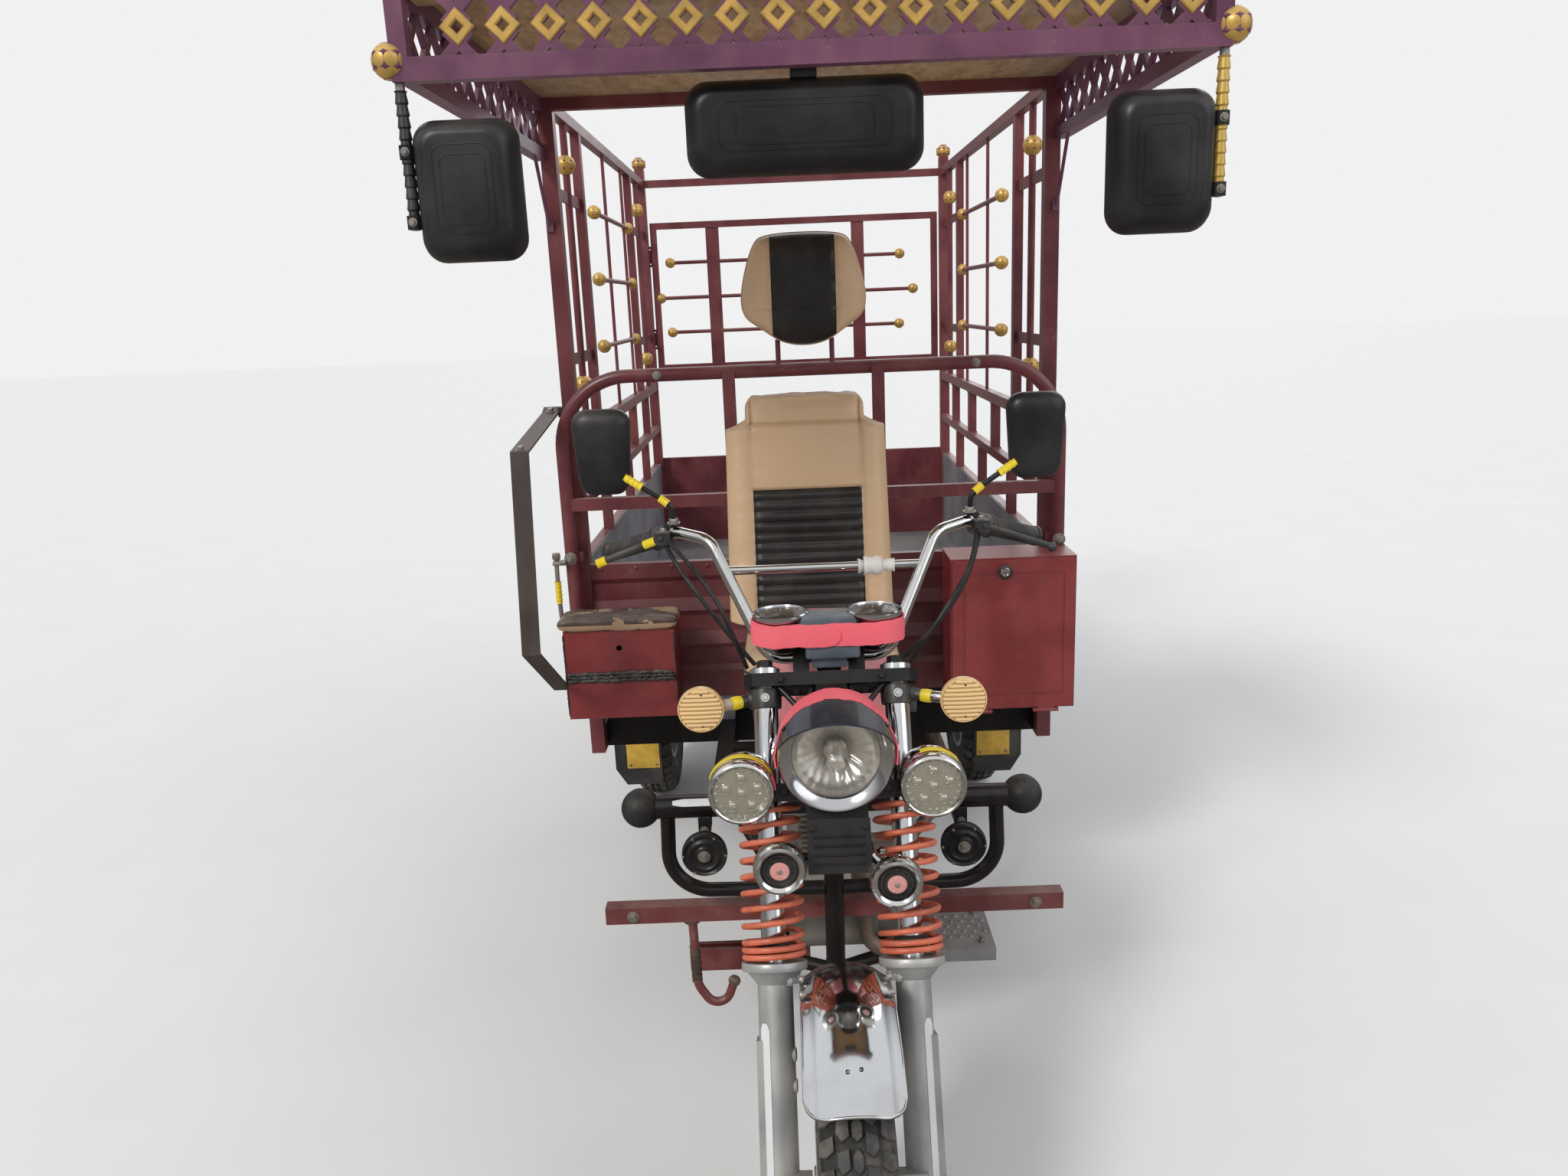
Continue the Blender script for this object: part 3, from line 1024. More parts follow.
def wound(made, start, end, radius, turns, depth=0.0012, mark=0, uneven=0.0):
    """Tape wound round a straight part: overlapping turns with a small step at each."""
    start, end = Vector(start), Vector(end)
    place = facing(start, end - start)
    length = (end - start).length
    steps = max(6, int(turns * 6))
    profile = [(radius - 0.0005, 0.0)]
    for i in range(steps + 1):
        share = i / steps
        lump = uneven * sin(share * 9.0 + radius * 900) * sin(share * pi)
        profile.append((radius + depth * (1 - (share * turns) % 1.0) + lump, length * share))
    profile.append((radius - 0.0005, length))
    turned(made, place, profile, 24, mark)


made = bmesh.new()
wound(made, (0.06, *BRACE), (0.124, *BRACE), 0.011, 5, 0.0022, 0, 0.0035)
wound(made, (0.07, *BRACE), (0.101, *BRACE), 0.015, 3, 0.002, 0, 0.002)
put_piece("brace_rag", made, (tape_white,), "steering", "tube_chrome", 50)
made = bmesh.new()
for side in (-1, 1):
    mirrored = Vector((side, 1, 1))
    out = bar_out * mirrored
    tip, start = BAR_END * mirrored, BAR_END * mirrored - out * 0.116
    for i in range(15):
        at = start + out * (0.008 + 0.007 * i)
        turned(made, facing(at, out), mm(15.8, -1.8, 17.2, -1.2, 17.6, 0, 17.2, 1.2, 15.8, 1.8), 28)
    turned(made, facing(start + out * 0.002, out), mm(15.8, -2, 22.5, -2, 23, 1, 15.8, 3), 30)
    turned(made, facing(tip + out * 0.0045, out), mm(15, -4, 18.8, -3, 19, 1.5, 15, 3.2, 0, 3.4), 30)
put_piece("grip_ribs", made, (grip_rubber,), "steering", "grip_rubber", 45)
made = bmesh.new()
switch_grey = dusted("switch_housing_black", (0.028, 0.028, 0.03), scale=20.0, gloss=0.4)
for side in (-1, 1):
    out = bar_out * Vector((side, 1, 1))
    housing = BAR_END * Vector((side, 1, 1)) - out * HOUSING_IN
    turned(made, facing(housing + out * 0.014, out), mm(20.5, -1.5, 21.6, -1, 21.6, 1, 20.5, 1.5), 30)
    for i, (dx, dz) in enumerate(((0.006, 0.006), (0.02, -0.004))):
        at = housing + out * dx + Vector((0, 0.019, dz))
        turned(made, facing(at, (0, 1, 0.2)), mm(5.6, 0, 5.4, 3, 4, 4.2, 0, 4.2), 16, 1 if i else 2)
    hex_bolt(made, housing + out * 0.012 + Vector((0, -0.022, 0.0128)), (0, 0, 1), 0.01, 3)
put_piece("switches", made, (switch_grey, tape_yellow, wrap_pink, bolt_zinc), "steering", "grip_rubber")
made = bmesh.new()
mirrored = Vector((-1, 1, 1))
out = bar_out * mirrored
lever_root = BAR_END * mirrored - out * HOUSING_IN + out * 0.01 + Vector((0, -0.036, 0.004))
lever_turn = lever_root + out * 0.06 + Vector((0, -0.012, -0.002))
lever_tip = BAR_END * mirrored + Vector((-0.018, -0.078, -0.006))
wound(made, lever_root.lerp(lever_turn, 0.3), lever_root.lerp(lever_turn, 0.72), 0.007, 4, 0.0014)
wound(made, lever_turn.lerp(lever_tip, 0.72), lever_turn.lerp(lever_tip, 0.93), 0.0072, 4, 0.0014)
put_piece("lever_tape", made, (tape_yellow,), "steering", "grip_rubber", 50)
made = bmesh.new()
for side in (-1, 1):
    for back in (-0.014, 0.014):
        hex_bolt(made, on_fork(side * 0.048, 0.06 + back * 0.92, 0.8473), FORK_UP, 0.009)
put_piece("bar_clamp_bolts", made, (bolt_zinc,), "steering", "yoke_black")

# Mirrors on the handlebar: black plastic shells on bent rods. The rods are bound with yellow tape
# at two places, and the glass looks back at the rider.


def rounded(width, height, corner, steps=7):
    """The points round a rectangle with rounded corners."""
    points = []
    for along, up, first in ((1, 1, 0), (-1, 1, 90), (-1, -1, 180), (1, -1, 270)):
        for k in range(steps + 1):
            angle = radians(first + 90 * k / steps)
            points.append((along * (width / 2 - corner) + corner * cos(angle),
                           up * (height / 2 - corner) + corner * sin(angle)))
    return points


def stacked(made, place, sections, mark=0, low_cap=True, high_cap=True):
    """A skin over outlines that lie at different heights of a place."""
    rings = [[made.verts.new(place @ Vector((x, y, height))) for x, y in outline]
             for outline, height in sections]
    joined_rings(made, rings, mark)
    for ring, wanted in ((rings[0], low_cap), (rings[-1], high_cap)):
        if wanted:
            made.faces.new(ring).material_index = mark


def curved(points, count=10):
    """Points along a rigid rod whose corners are rounded: a quadratic curve between midpoints."""
    points = [Vector(point) for point in points]
    middles = [points[0]] + [a.lerp(b, 0.5) for a, b in zip(points[1:-2], points[2:-1])] + [points[-1]]
    route = []
    for i, corner in enumerate(points[1:-1]):
        first, last = middles[i], middles[i + 1]
        for k in range(count):
            share = k / count
            route.append(first.lerp(corner, share).lerp(corner.lerp(last, share), share))
    return route + [points[-1]]


shell_plastic = dusted("mirror_shell_plastic", (0.01, 0.01, 0.013), dust=0.16, scale=7.0, gloss=0.36,
                       Specular_IOR_Level=0.35)
mirror_glass = chromed("mirror_glass", (0.72, 0.74, 0.75), 0.25, 9.0)
made = bmesh.new()
for side in (-1, 1):
    place = facing((side * 0.39, -0.905, 1.352), (0, 1, 0))
    sections = []
    for inset, depth in mm(34, -12.5, 22, -11.8, 12, -8.5, 4.5, -3, 0.8, 5, 0, 11, 0.8, 13, 3, 13, 3.4,
                           11.2):
        outline = rounded(0.107 - 2 * inset, 0.155 - 2 * inset, max(0.01, 0.03 - inset * 0.5))
        slimmer = [(x * (1 + 0.1 * y / 0.0775), y) for x, y in outline]
        widest = max(x for x, y in slimmer)
        sections.append(([(x * (0.0535 - inset) / widest, y) for x, y in slimmer], depth))
    stacked(made, place, sections[:-1], 0, True, False)
    stacked(made, place, sections[-2:], 0, False, False)
    glass = [(x * 0.5, y * 0.5) for x, y in sections[-1][0]]
    stacked(made, place, [sections[-1], (glass, 0.0114)], 1, False, True)
    inner = BAR_INNER * Vector((side, 1, 1))
    foot = [inner + Vector((side * x, y, z)) for x, y, z in (
        (0.006, 0, 0.0103), (0.0068, -0.0012, 0.03), (0.008, -0.003, 0.052))]
    stem = curved(foot + [(side * 0.325, -0.913, 1.29), (side * 0.376, -0.905, 1.322)], 8)
    swept(made, stem, 0.005, 14)
    hex_bolt(made, inner + Vector((side * 0.006, 0, 0.017)), (0, -0.06, 1), 0.015, 2)
    for first, last in ((0.5, 0.62), (0.78, 0.9)):
        a, b = stem[int(first * len(stem))], stem[int(last * len(stem))]
        wound(made, a, b, 0.0062, 4, 0.0016, 3)
put_piece("bar_mirror_heads", made, (shell_plastic, mirror_glass, bolt_zinc, tape_yellow), "steering",
          "mirror_shell", 40, "bar_mirrors")

# Fuel tank: pressed steel in pink enamel, glossy under its dust. A round chromed cap with a rolled
# edge closes it.
dress(painted("tank_pink_gloss", (0.74, 0.21, 0.245), wear=0.15, dust=0.25, scale=5.0, gloss=0.14,
              coat=0.6), "fuel_tank")
made = bmesh.new()
cap = Matrix.Translation((0, -0.886, 0.983))
turned(made, cap, mm(29.5, -4, 31.5, -2, 31.5, 4, 29, 7.5, 24, 8.5, 22.5, 7, 0, 7.8), 44)
swept(made, [cap @ polar(0.0312, a, -0.003) for a in evenly(40)], 0.0012, 8, loop=True)
put_piece("tank_cap", made, (lamp_chrome,), "chassis", "body_red")

# Saddle: a sewn cushion of beige leatherette on a folded tray. Its crown is rounded and a little
# creased, a welt runs round its edge, and a dark fringe hangs below its front edge.


def bisected(made, at, across):
    """Cuts the faces along a plane, so that two leathers meet in a clean line."""
    parts = made.verts[:] + made.edges[:] + made.faces[:]
    bmesh.ops.bisect_plane(made, geom=parts, dist=1e-5, plane_co=at, plane_no=across)


def densely(outline, step):
    """An outline with more points along its long sides."""
    points = []
    for (ax, ay), (bx, by) in zip(outline, outline[1:] + outline[:1]):
        parts = max(1, int(hypot(bx - ax, by - ay) / step))
        points += [(ax + (bx - ax) * k / parts, ay + (by - ay) * k / parts) for k in range(parts)]
    return points


def cushion(made, place, outline, thick, mark_of, power, crease, grain, seams, rings=16, foot=1.0):
    """A padded piece: an outline closed by a rounded crown on both faces, creased a little."""
    middle = sum((Vector(point) for point in outline), Vector((0, 0))) / len(outline)
    levels = []
    for k in range(rings + 1):
        share = sin(pi / 2 * k / rings)
        levels.append((share, -foot * thick / 2 * (1 - share ** power) ** (1 / 2.4)))
    levels += [(share, -height / foot) for share, height in reversed(levels[:-1])]
    layers = []
    for share, height in levels:
        if share < 1e-6:
            layers.append([made.verts.new(place @ Vector((*middle, height)))])
            continue
        ring = []
        for x, y in outline:
            flat = middle + (Vector((x, y)) - middle) * share
            local = Vector((*flat, height))
            wave = fractal(local * grain + Vector((3.1, 1.7, thick * 40)), 1.0, 2.1, 4) * crease
            dip = sum(depth * exp(-((flat.x * a + flat.y * b - c) / wide) ** 2)
                      for a, b, c, depth, wide in seams)
            up = 1 if height > 0 else -1
            bulk = min(1.0, abs(height) / (thick * 0.35))
            local.z += up * (wave - dip) * bulk
            local.x += wave * 0.5
            ring.append(made.verts.new(place @ local))
        layers.append(ring)
    joined_rings(made, layers)
    back = place.inverted()
    for a, b, c, _, _ in seams:
        bisected(made, place @ Vector((a * c, b * c, 0)), place.to_3x3() @ Vector((a, b, 0)))
    for face in made.faces:
        face.material_index = mark_of(back @ face.calc_center_median())


leather_beige = dusted("leather_beige", (0.6, 0.41, 0.245), dust=0.16, scale=13.0, gloss=0.4, relief=0.55)
leather_black = dusted("leather_black", (0.014, 0.013, 0.013), dust=0.12, scale=13.0, gloss=0.38,
                       relief=0.55)
place = Matrix.Translation((0.0, -0.5, 0.836))
dense = densely(rounded(0.34, 0.32, 0.062, 12), 0.009)
made = bmesh.new()
seams = ((0, 1, -0.055, 0.004, 0.006), (0, 1, 0.055, 0.004, 0.006))
cushion(made, place, dense, 0.086, lambda at: 0, 7.0, 0.003, 14.0, seams, foot=0.94)
seat_piece = put_piece("saddle_cushion", made, (leather_beige,), "chassis", "seat_beige", 60,
                       "seat_cushion")
made = bmesh.new()
swept(made, [place @ Vector((x * 1.004, y * 1.004, 0.0)) for x, y in dense], 0.0032, 10, loop=True)
put_piece("saddle_welt", made, (leather_black,), "chassis", "seat_beige", 60)
fringe_purple = dusted("fringe_dark_purple", (0.035, 0.012, 0.04), dust=0.25, scale=20.0, gloss=0.8,
                       relief=0.6)
picked = random.Random(7)
made = bmesh.new()
for i in range(44):
    x = -0.15 + 0.0068 * i
    long = 0.046 + picked.random() * 0.014
    top = Vector((x, -0.6515, 0.792))
    sway = Vector(((picked.random() - 0.5) * 0.006, -0.002 - picked.random() * 0.004, 0))
    middle, end = top + sway * 0.4 + Vector((0, -0.001, -long / 2)), top + sway + Vector((0, 0, -long))
    swept(made, (top, middle, end), (0.0021, 0.0019, 0.0013), 6)
swept(made, ((-0.152, -0.6515, 0.793), (0.0, -0.652, 0.793), (0.148, -0.6515, 0.793)), 0.0035, 8)
put_piece("saddle_fringe", made, (fringe_purple,), "chassis", "seat_beige", 60)

# Backrest: sewn in black and beige. A slack band runs over its top, bolsters stand at both sides,
# and the lower middle is quilted in narrow pleats. It leans on the hoop behind it.
REST_X, REST_LOW, REST_HIGH = -0.015, 0.8805, 1.4005
INNER_HALF, QUILT_TOP, BAND_SEAM = 0.124, 1.187, 1.335


def leaned(z):
    """How far a height lies along the part of the backrest that leans back."""
    return (z - 0.8803) / 0.4977


def stitches(made, points):
    """Short straight threads laid end to end along a line of points."""
    length, gap, radius = 0.0042, 0.003, 0.0006
    points = [Vector(point) for point in points]
    walked = 0.0
    for a, b in zip(points, points[1:]):
        run = (b - a).length
        along = (b - a).normalized() if run > 1e-9 else None
        while along and walked < run:
            first, last = a + along * walked, a + along * min(run, walked + length)
            if (last - first).length > length * 0.4:
                swept(made, (first, last), radius, 5)
            walked += length + gap
        walked -= run


made = bmesh.new()
rest_rows, rest_sides = 150, 120
rings = []
for row in range(rest_rows + 1):
    share = row / rest_rows
    z = REST_LOW + (REST_HIGH - REST_LOW) * share
    near_top = max(0.0, (z - 1.33) / 0.0705)
    waist = 0.19 - 0.008 * share - 0.046 * min(1.0, max(0.0, (z - 1.322) / 0.02)) ** 0.7
    waist -= 0.03 * max(0.0, near_top - 0.55) ** 2 * 4
    front = -0.44 + 0.1 * leaned(z)
    back = -0.34 + 0.088 * leaned(z)
    if near_top > 0:
        front += 0.012 * near_top ** 2
    middle_y, deep = (front + back) / 2, (back - front) / 2
    above, below = max(0.0, (share - 0.985) / 0.015), max(0.0, (0.02 - share) / 0.02)
    closing = 1 - 0.55 * above ** 2 - 0.45 * below ** 2
    ring = []
    for angle in evenly(rest_sides):
        c, s = cos(angle), sin(angle)
        x = waist * copysign(abs(c) ** 0.42, c) * closing
        y = deep * copysign(abs(s) ** 0.5, s) * closing
        puff = 0.0
        if s < 0:
            out = abs(x)
            flat = min(1.0, abs(s) * 1.6)
            if z < QUILT_TOP and out < INNER_HALF:
                puff += (0.0065 * abs(sin(pi * (z - 0.88) / 0.0236)) ** 0.55 - 0.004) * flat
            if out > INNER_HALF:
                puff += 0.011 * sin(pi * min(1.0, (out - INNER_HALF) / 0.062)) ** 0.7 * flat
            puff -= 0.006 * exp(-((out - INNER_HALF) / 0.0028) ** 2) * flat
            if out < INNER_HALF:
                puff -= 0.007 * exp(-((z - QUILT_TOP) / 0.0035) ** 2) * flat
            puff -= 0.007 * exp(-((z - BAND_SEAM) / 0.0035) ** 2) * flat
            slack = fractal(Vector((x * 9, z * 26, 1.0)), 1.0, 2.1, 4)
            puff += slack * (0.004 if z > BAND_SEAM else 0.0022) * flat
        lift = 0.0
        if share > 0.93:
            lift = fractal(Vector((x * 14, 5.0, s)), 1.0, 2.0, 3) * 0.006 * (share - 0.93) / 0.07
        height = z + lift - (0.004 if share > 0.99 else 0)
        ring.append(made.verts.new((REST_X + x, middle_y + y - puff, height)))
    rings.append(ring)
joined_rings(made, rings)
for ring in (rings[0], rings[-1]):
    middle = made.verts.new(sum((vert.co for vert in ring), Vector()) / len(ring)
                            + Vector((0, 0, 0.001 if ring is rings[-1] else 0)))
    joined_rings(made, [ring, [middle]])
for at, across in (((-0.139, 0, 1), (1, 0, 0)), ((0.109, 0, 1), (1, 0, 0)),
                   ((0, 0, QUILT_TOP), (0, 0, 1))):
    bisected(made, at, across)
for face in made.faces:
    at = face.calc_center_median()
    inside = abs(at.x - REST_X) < INNER_HALF
    in_front = at.y < -0.32 + 0.1 * (at.z - 0.88) / 0.5
    face.material_index = 1 if inside and in_front and at.z < QUILT_TOP else 0
rest_piece = put_piece("backrest_cover", made, (leather_beige, leather_black), "chassis", "seat_beige",
                       70, "backrest")
thread_tan = dusted("thread_tan", (0.5, 0.34, 0.19), dust=0.2, scale=40.0, gloss=0.8)
made = bmesh.new()
for offset in (-0.1285, 0.1285):
    line = []
    for k in range(60):
        z = 0.905 + (1.325 - 0.905) * k / 59
        line.append((REST_X + offset, -0.441 + 0.1 * leaned(z) - 0.0045, z))
    stitches(made, line)
put_piece("backrest_stitches", made, (thread_tan,), "chassis", "seat_beige", 60)

# Headrest: two sewn halves, black in the middle and beige at the sides, on two plain rods. Tan
# stitching follows the seams.
half_w, half_h = 0.142, 0.123
corners = ((-0.72, -0.66), (-0.98, -0.45), (-1.0, 0.0), (-0.8, 0.8), (-0.6, 1.0), (0.6, 1.0), (0.8, 0.8),
           (1.0, 0.0), (0.98, -0.45), (0.72, -0.66), (0.3, -1.0), (-0.3, -1.0))
smooth = []
for i, (x, y) in enumerate(corners):
    px, py = corners[i - 1]
    nx, ny = corners[(i + 1) % len(corners)]
    for k in range(8):
        share = k / 8
        a, b = Vector(((px + x) / 2, (py + y) / 2)), Vector((x, y))
        c = Vector(((nx + x) / 2, (ny + y) / 2))
        point = a.lerp(b, share).lerp(b.lerp(c, share), share)
        smooth.append((point.x * half_w * 1.015, point.y * half_h * 1.015))
place = facing((-0.006, -0.225, 1.63), (0, -1, 0))
made = bmesh.new()
seams = ((1, 0, 0.074, 0.006, 0.0035), (1, 0, -0.074, 0.006, 0.0035), (0, 1, -0.04, 0.003, 0.004))
cushion(made, place, smooth, 0.096, lambda at: int(abs(at.x) < 0.074), 4.5, 0.0024, 16.0, seams, 22)
head_piece = put_piece("headrest_cover", made, (leather_beige, leather_black), "chassis", "seat_beige",
                       60, "headrest")
made = bmesh.new()
for offset in (-0.08, 0.08):
    line = []
    for k in range(40):
        up = -0.07 + 0.16 * k / 39
        share = max(abs(offset) / half_w, abs(up) / half_h)
        line.append(place @ Vector((offset, up, 0.048 * (1 - share ** 4.5) ** (1 / 2.4) + 0.0006)))
    stitches(made, line)
swept(made, [place @ Vector((x * 1.002, y * 1.002, 0)) for x, y in smooth], 0.0024, 8, loop=True)
put_piece("headrest_stitches", made, (thread_tan,), "chassis", "seat_beige", 60)

# Seat hoop and handrail: round pipe and bent flat bar in dark enamel, with bolts through them. A
# latch rod with yellow tape stands by the left leg.
made = bmesh.new()
for x, z, size in ((-0.36, 1.446, 0.013), (0.398, 1.446, 0.013), (-0.602, 1.01, 0.019),
                   (0.602, 1.01, 0.019), (-0.602, 0.7, 0.019), (0.602, 0.7, 0.019), (-0.19, 1.141, 0.012),
                   (0.165, 1.141, 0.012)):
    hex_bolt(made, (x, -0.2035 if abs(z - 1.141) < 0.01 else -0.2078, z), (0, -1, 0), size,
             stud=size > 0.015)
put_piece("hoop_bolts", made, (bolt_zinc,), "chassis", "body_red")
made = bmesh.new()
swept(made, curved(((-0.636, -0.214, 1.014), (-0.637, -0.216, 0.992), (-0.637, -0.217, 0.93),
                    (-0.636, -0.216, 0.87), (-0.634, -0.214, 0.832)), 6), 0.0055)
turned(made, facing((-0.636, -0.214, 1.018), (0, 0, 1)), mm(0, -10, 9, -8, 10.5, 0, 9, 8, 0, 10), 20)
wound(made, (-0.637, -0.217, 0.955), (-0.637, -0.217, 0.9), 0.0068, 5, 0.0015, 1)
for z in (0.845, 1.001):
    slab(made, (-0.645, -0.224, z - 0.005), (-0.612, -0.199, z + 0.005))
put_piece("hoop_latch", made, (bolt_zinc, tape_yellow), "chassis", "body_red")
dress(painted("handrail_brown_black", (0.03, 0.021, 0.019), wear=0.5, dust=0.18, scale=9.0, gloss=0.42),
      "handrail")
made = bmesh.new()
for y, z, along in ((-0.153, 1.3665, (0, -0.24, 1)), (-0.5, 1.317, (0, -0.14, 1)),
                    (-0.286, 0.7095, (0, 0, 1))):
    hex_bolt(made, (-0.6305, y, z), along, 0.014)
put_piece("handrail_bolts", made, (bolt_zinc,), "chassis", "rail_steel")

# Crash bar and horns: gloss black tube with white reflective strips along its front, and a worn
# rubber ball at each end. The horns are black discs with a ring and a bolt in the middle.
CRASH_Y, CRASH_Z = -0.95, 0.68
dress(painted("crash_bar_gloss_black", (0.005, 0.005, 0.006), bare=(0.05, 0.036, 0.03), wear=0.12,
              dust=0.04, scale=9.0, gloss=0.14, coat=0.0, shine=0.35), "crash_bar")
made = bmesh.new()
for low, high in ((-0.3, -0.075), (0.12, 0.205)):
    rings = []
    for k in range(13):
        x = low + (high - low) * k / 12
        ends = 0.55 if k in (0, 12) else 1.0
        ring = []
        for turn, lift in ((22, 0.0), (24, 0.001), (42, 0.0012), (60, 0.001), (62, 0.0)):
            angle = radians(42 + (turn - 42) * ends)
            out, up = (0.0221 + lift) * cos(angle), (0.0221 + lift) * sin(angle)
            ring.append(made.verts.new((x, CRASH_Y - out, CRASH_Z + up)))
        rings.append(ring)
    joined_rings(made, rings, closed=False)
put_piece("crash_bar_strips", made, (strip_white,), "chassis", "black_plastic", 50)
ball_rubber = dusted("ball_rubber", (0.012, 0.012, 0.013), dust=0.18, scale=14.0, relief=0.6,
                     Specular_IOR_Level=0.3)
made = bmesh.new()
for side in (-1, 1):
    place = facing((side * 0.362, CRASH_Y, CRASH_Z), (side, 0, 0))
    profile = []
    for k in range(25):
        angle = radians(-62 + 152 * k / 24)
        radius = 0.0376 if 9 < k < 15 and k % 2 else 0.0372
        profile.append((max(0.0, radius * cos(angle)) if k < 24 else 0.0, radius * sin(angle)))
    turned(made, place, profile, 48)
put_piece("crash_bar_balls", made, (ball_rubber,), "chassis", "black_plastic", 40)
horn_black = dusted("horn_black", (0.01, 0.01, 0.011), dust=0.12, scale=16.0, gloss=0.32,
                    Specular_IOR_Level=0.3)
dress(horn_black, "horns")
made = bmesh.new()
for side in (-1, 1):
    disc = facing((side * 0.24, -1.0285, 0.616), (0, 1, 0))
    turned(made, disc, mm(41.2, 16, 42.4, 10, 42, 1, 39.5, -2.5, 36.5, -1, 34.5, 1, 30, -0.5, 27, -3.5,
                          24, -1, 18, 0, 15, -3, 12, -3.5, 0, -3.5), 56)
    for angle in evenly(6):
        at = disc @ polar(0.0392, angle, -0.0022)
        turned(made, facing(at, (0, -1, 0)), mm(2.6, 0, 2.4, 1, 0, 1.4), 10, 1)
    hex_bolt(made, (side * 0.24, -1.032, 0.616), (0, -1, 0), 0.014, 1, stud=True)
    hex_bolt(made, (side * 0.24, -0.9945, 0.65), (0, -1, 0), 0.011, 1)
put_piece("horn_faces", made, (horn_black, bolt_zinc), "chassis", "black_plastic", 40)

# Foot bars and footboard: a folded angle in dark red enamel carries the bent pedal rod. The
# footboard is bare zinc sheet with bolts and pressed dimples.
dress(painted("foot_bar_red_enamel", (0.15, 0.012, 0.018), wear=0.6, dust=0.42), "foot_bars")
footboard_grey = painted("footboard_zinc", (0.36, 0.37, 0.38), wear=0.5, dust=0.4, scale=10.0, gloss=0.4,
                         metallic=0.4)
dress(footboard_grey, "footboard")
pedal_brown = painted("pedal_rod_brown", (0.06, 0.036, 0.026), bare=(0.14, 0.06, 0.03), wear=0.8,
                      dust=0.4, scale=16.0, gloss=0.5, coat=0.0)
made = bmesh.new()
wound(made, (-0.2834, -0.897, 0.35), (-0.2822, -0.897, 0.272), 0.0098, 6)
turned(made, facing((-0.208, -0.8898, 0.262), (0.26, 0.07, 0.69)),
       mm(9.2, -4, 12, -3, 12.5, 4, 9, 9, 0, 10), 24)
turned(made, facing((-0.285, -0.897, 0.4115), (0, 0, -1)), mm(0, -1, 17, 0, 17, 5, 10, 6), 24)
put_piece("pedal_rod_parts", made, (pedal_brown,), "chassis", "body_red")
made = bmesh.new()
for x in (-0.4, -0.12, 0.12, 0.4):
    hex_bolt(made, (x, -0.9113, 0.428), (0, -1, 0), 0.015)
for x in (0.11, 0.215, 0.32):
    for y in (-0.762, -0.645):
        hex_bolt(made, (x, y, 0.2536), (0, 0, 1), 0.012, stud=True)
put_piece("foot_bar_bolts", made, (bolt_zinc,), "chassis", "body_red")
made = bmesh.new()
for i in range(10):
    for k in range(5):
        x, y = 0.118 + 0.0225 * i, -0.742 + 0.021 * k
        turned(made, Matrix.Translation((x + (0.011 if k % 2 else 0), y, 0.2536)),
               mm(5.8, -0.2, 4.6, 1.1, 2, 1.7, 0, 1.8), 12)
put_piece("footboard_dimples", made, (footboard_grey,), "chassis", "liner_galvanised", 70)

# Toolboxes: welded sheet in red enamel. The small one has a padded lid in torn leatherette and a
# lumpy weld across its front, the large one a ring lock with a key cylinder in its door.
box_red = painted("toolbox_red_enamel", (0.235, 0.01, 0.018), wear=0.36, dust=0.24, scale=6.0)
dress(box_red, "toolbox_small", "toolbox_large", "toolbox_large_door")
made = bmesh.new()
weld_black = dusted("weld_black", (0.02, 0.017, 0.016), dust=0.35, scale=40.0, relief=0.9)
picked = random.Random(11)
for x0, x1, z in ((-0.606, -0.349, 0.736), (-0.606, -0.349, 0.7445), (-0.604, -0.356, 0.753)):
    count = int((x1 - x0) / 0.0042)
    points, radii = [], []
    for i in range(count + 1):
        points.append((x0 + (x1 - x0) * i / count, -0.3452 - picked.random() * 0.0008,
                       z + (picked.random() - 0.5) * 0.004))
        radii.append(0.0036 + picked.random() * 0.003)
    swept(made, points, radii, 10)
for x in (-0.6098, -0.3452):
    points = [(x, -0.3448, 0.65 + 0.0042 * i) for i in range(49)]
    swept(made, points, [0.0016 + 0.0012 * picked.random() for _ in points], 8)
put_piece("toolbox_welds", made, (weld_black,), "chassis", "box_red", 60)
torn, tree, shader, place = material("torn_leatherette", Coat_Weight=0.1)
patches = noise(tree, place, 16.0, 6.0, 0.62)
holes = between(tree, patches, 0.545, 0.565)
rim = calculate(tree, "SUBTRACT", between(tree, patches, 0.515, 0.545), holes)
effect = put(tree, "ShaderNodeGroup", {"Dust": 0.3, "Scale": 14.0, "Gloss": 0.45}, node_tree=dusty_coat)
skin = mixed(tree, rim, (0.055, 0.026, 0.017, 1), (0.02, 0.011, 0.008, 1))
tree.links.new(mixed(tree, holes, skin, (0.36, 0.235, 0.135, 1)), effect.inputs["Base"])
rough = calculate(tree, "MULTIPLY_ADD", holes, 0.4, effect.outputs["Roughness"], clamp=True)
height = calculate(tree, "MULTIPLY_ADD", holes, -1.0, effect.outputs["Height"])
surfaced(tree, shader, effect.outputs["Color"], rough, height, 0.7, 0.0012)
fuzz = dusted("lid_edge_fabric", (0.34, 0.22, 0.13), dust=0.3, scale=30.0, gloss=0.9, relief=0.9)
place = Matrix.Translation((-0.4785, -0.3045, 0.8772))
dense = densely(rounded(0.287, 0.105, 0.016, 6), 0.006)
made = bmesh.new()
seams = ((1, 0, 0.05, 0.002, 0.004),)
cushion(made, place, dense, 0.0335, lambda at: int(at.z <= -0.002), 12.0, 0.0026, 20.0, seams, 14)
for x in (-0.5485, -0.4085):
    slab(made, (x - 0.02, -0.256, 0.8632), (x + 0.02, -0.246, 0.8708), 0.0012, 2)
    turned(made, facing((x - 0.02, -0.246, 0.867), (1, 0, 0)), mm(2.1, 0, 4, 0, 4, 40, 2.1, 40, 2.1, 0),
           20, 2)
lid_piece = put_piece("toolbox_lid_pad", made, (torn, fuzz, box_red), "small_box_lid", "pad_leather", 60,
                      "toolbox_small_lid")
made = bmesh.new()
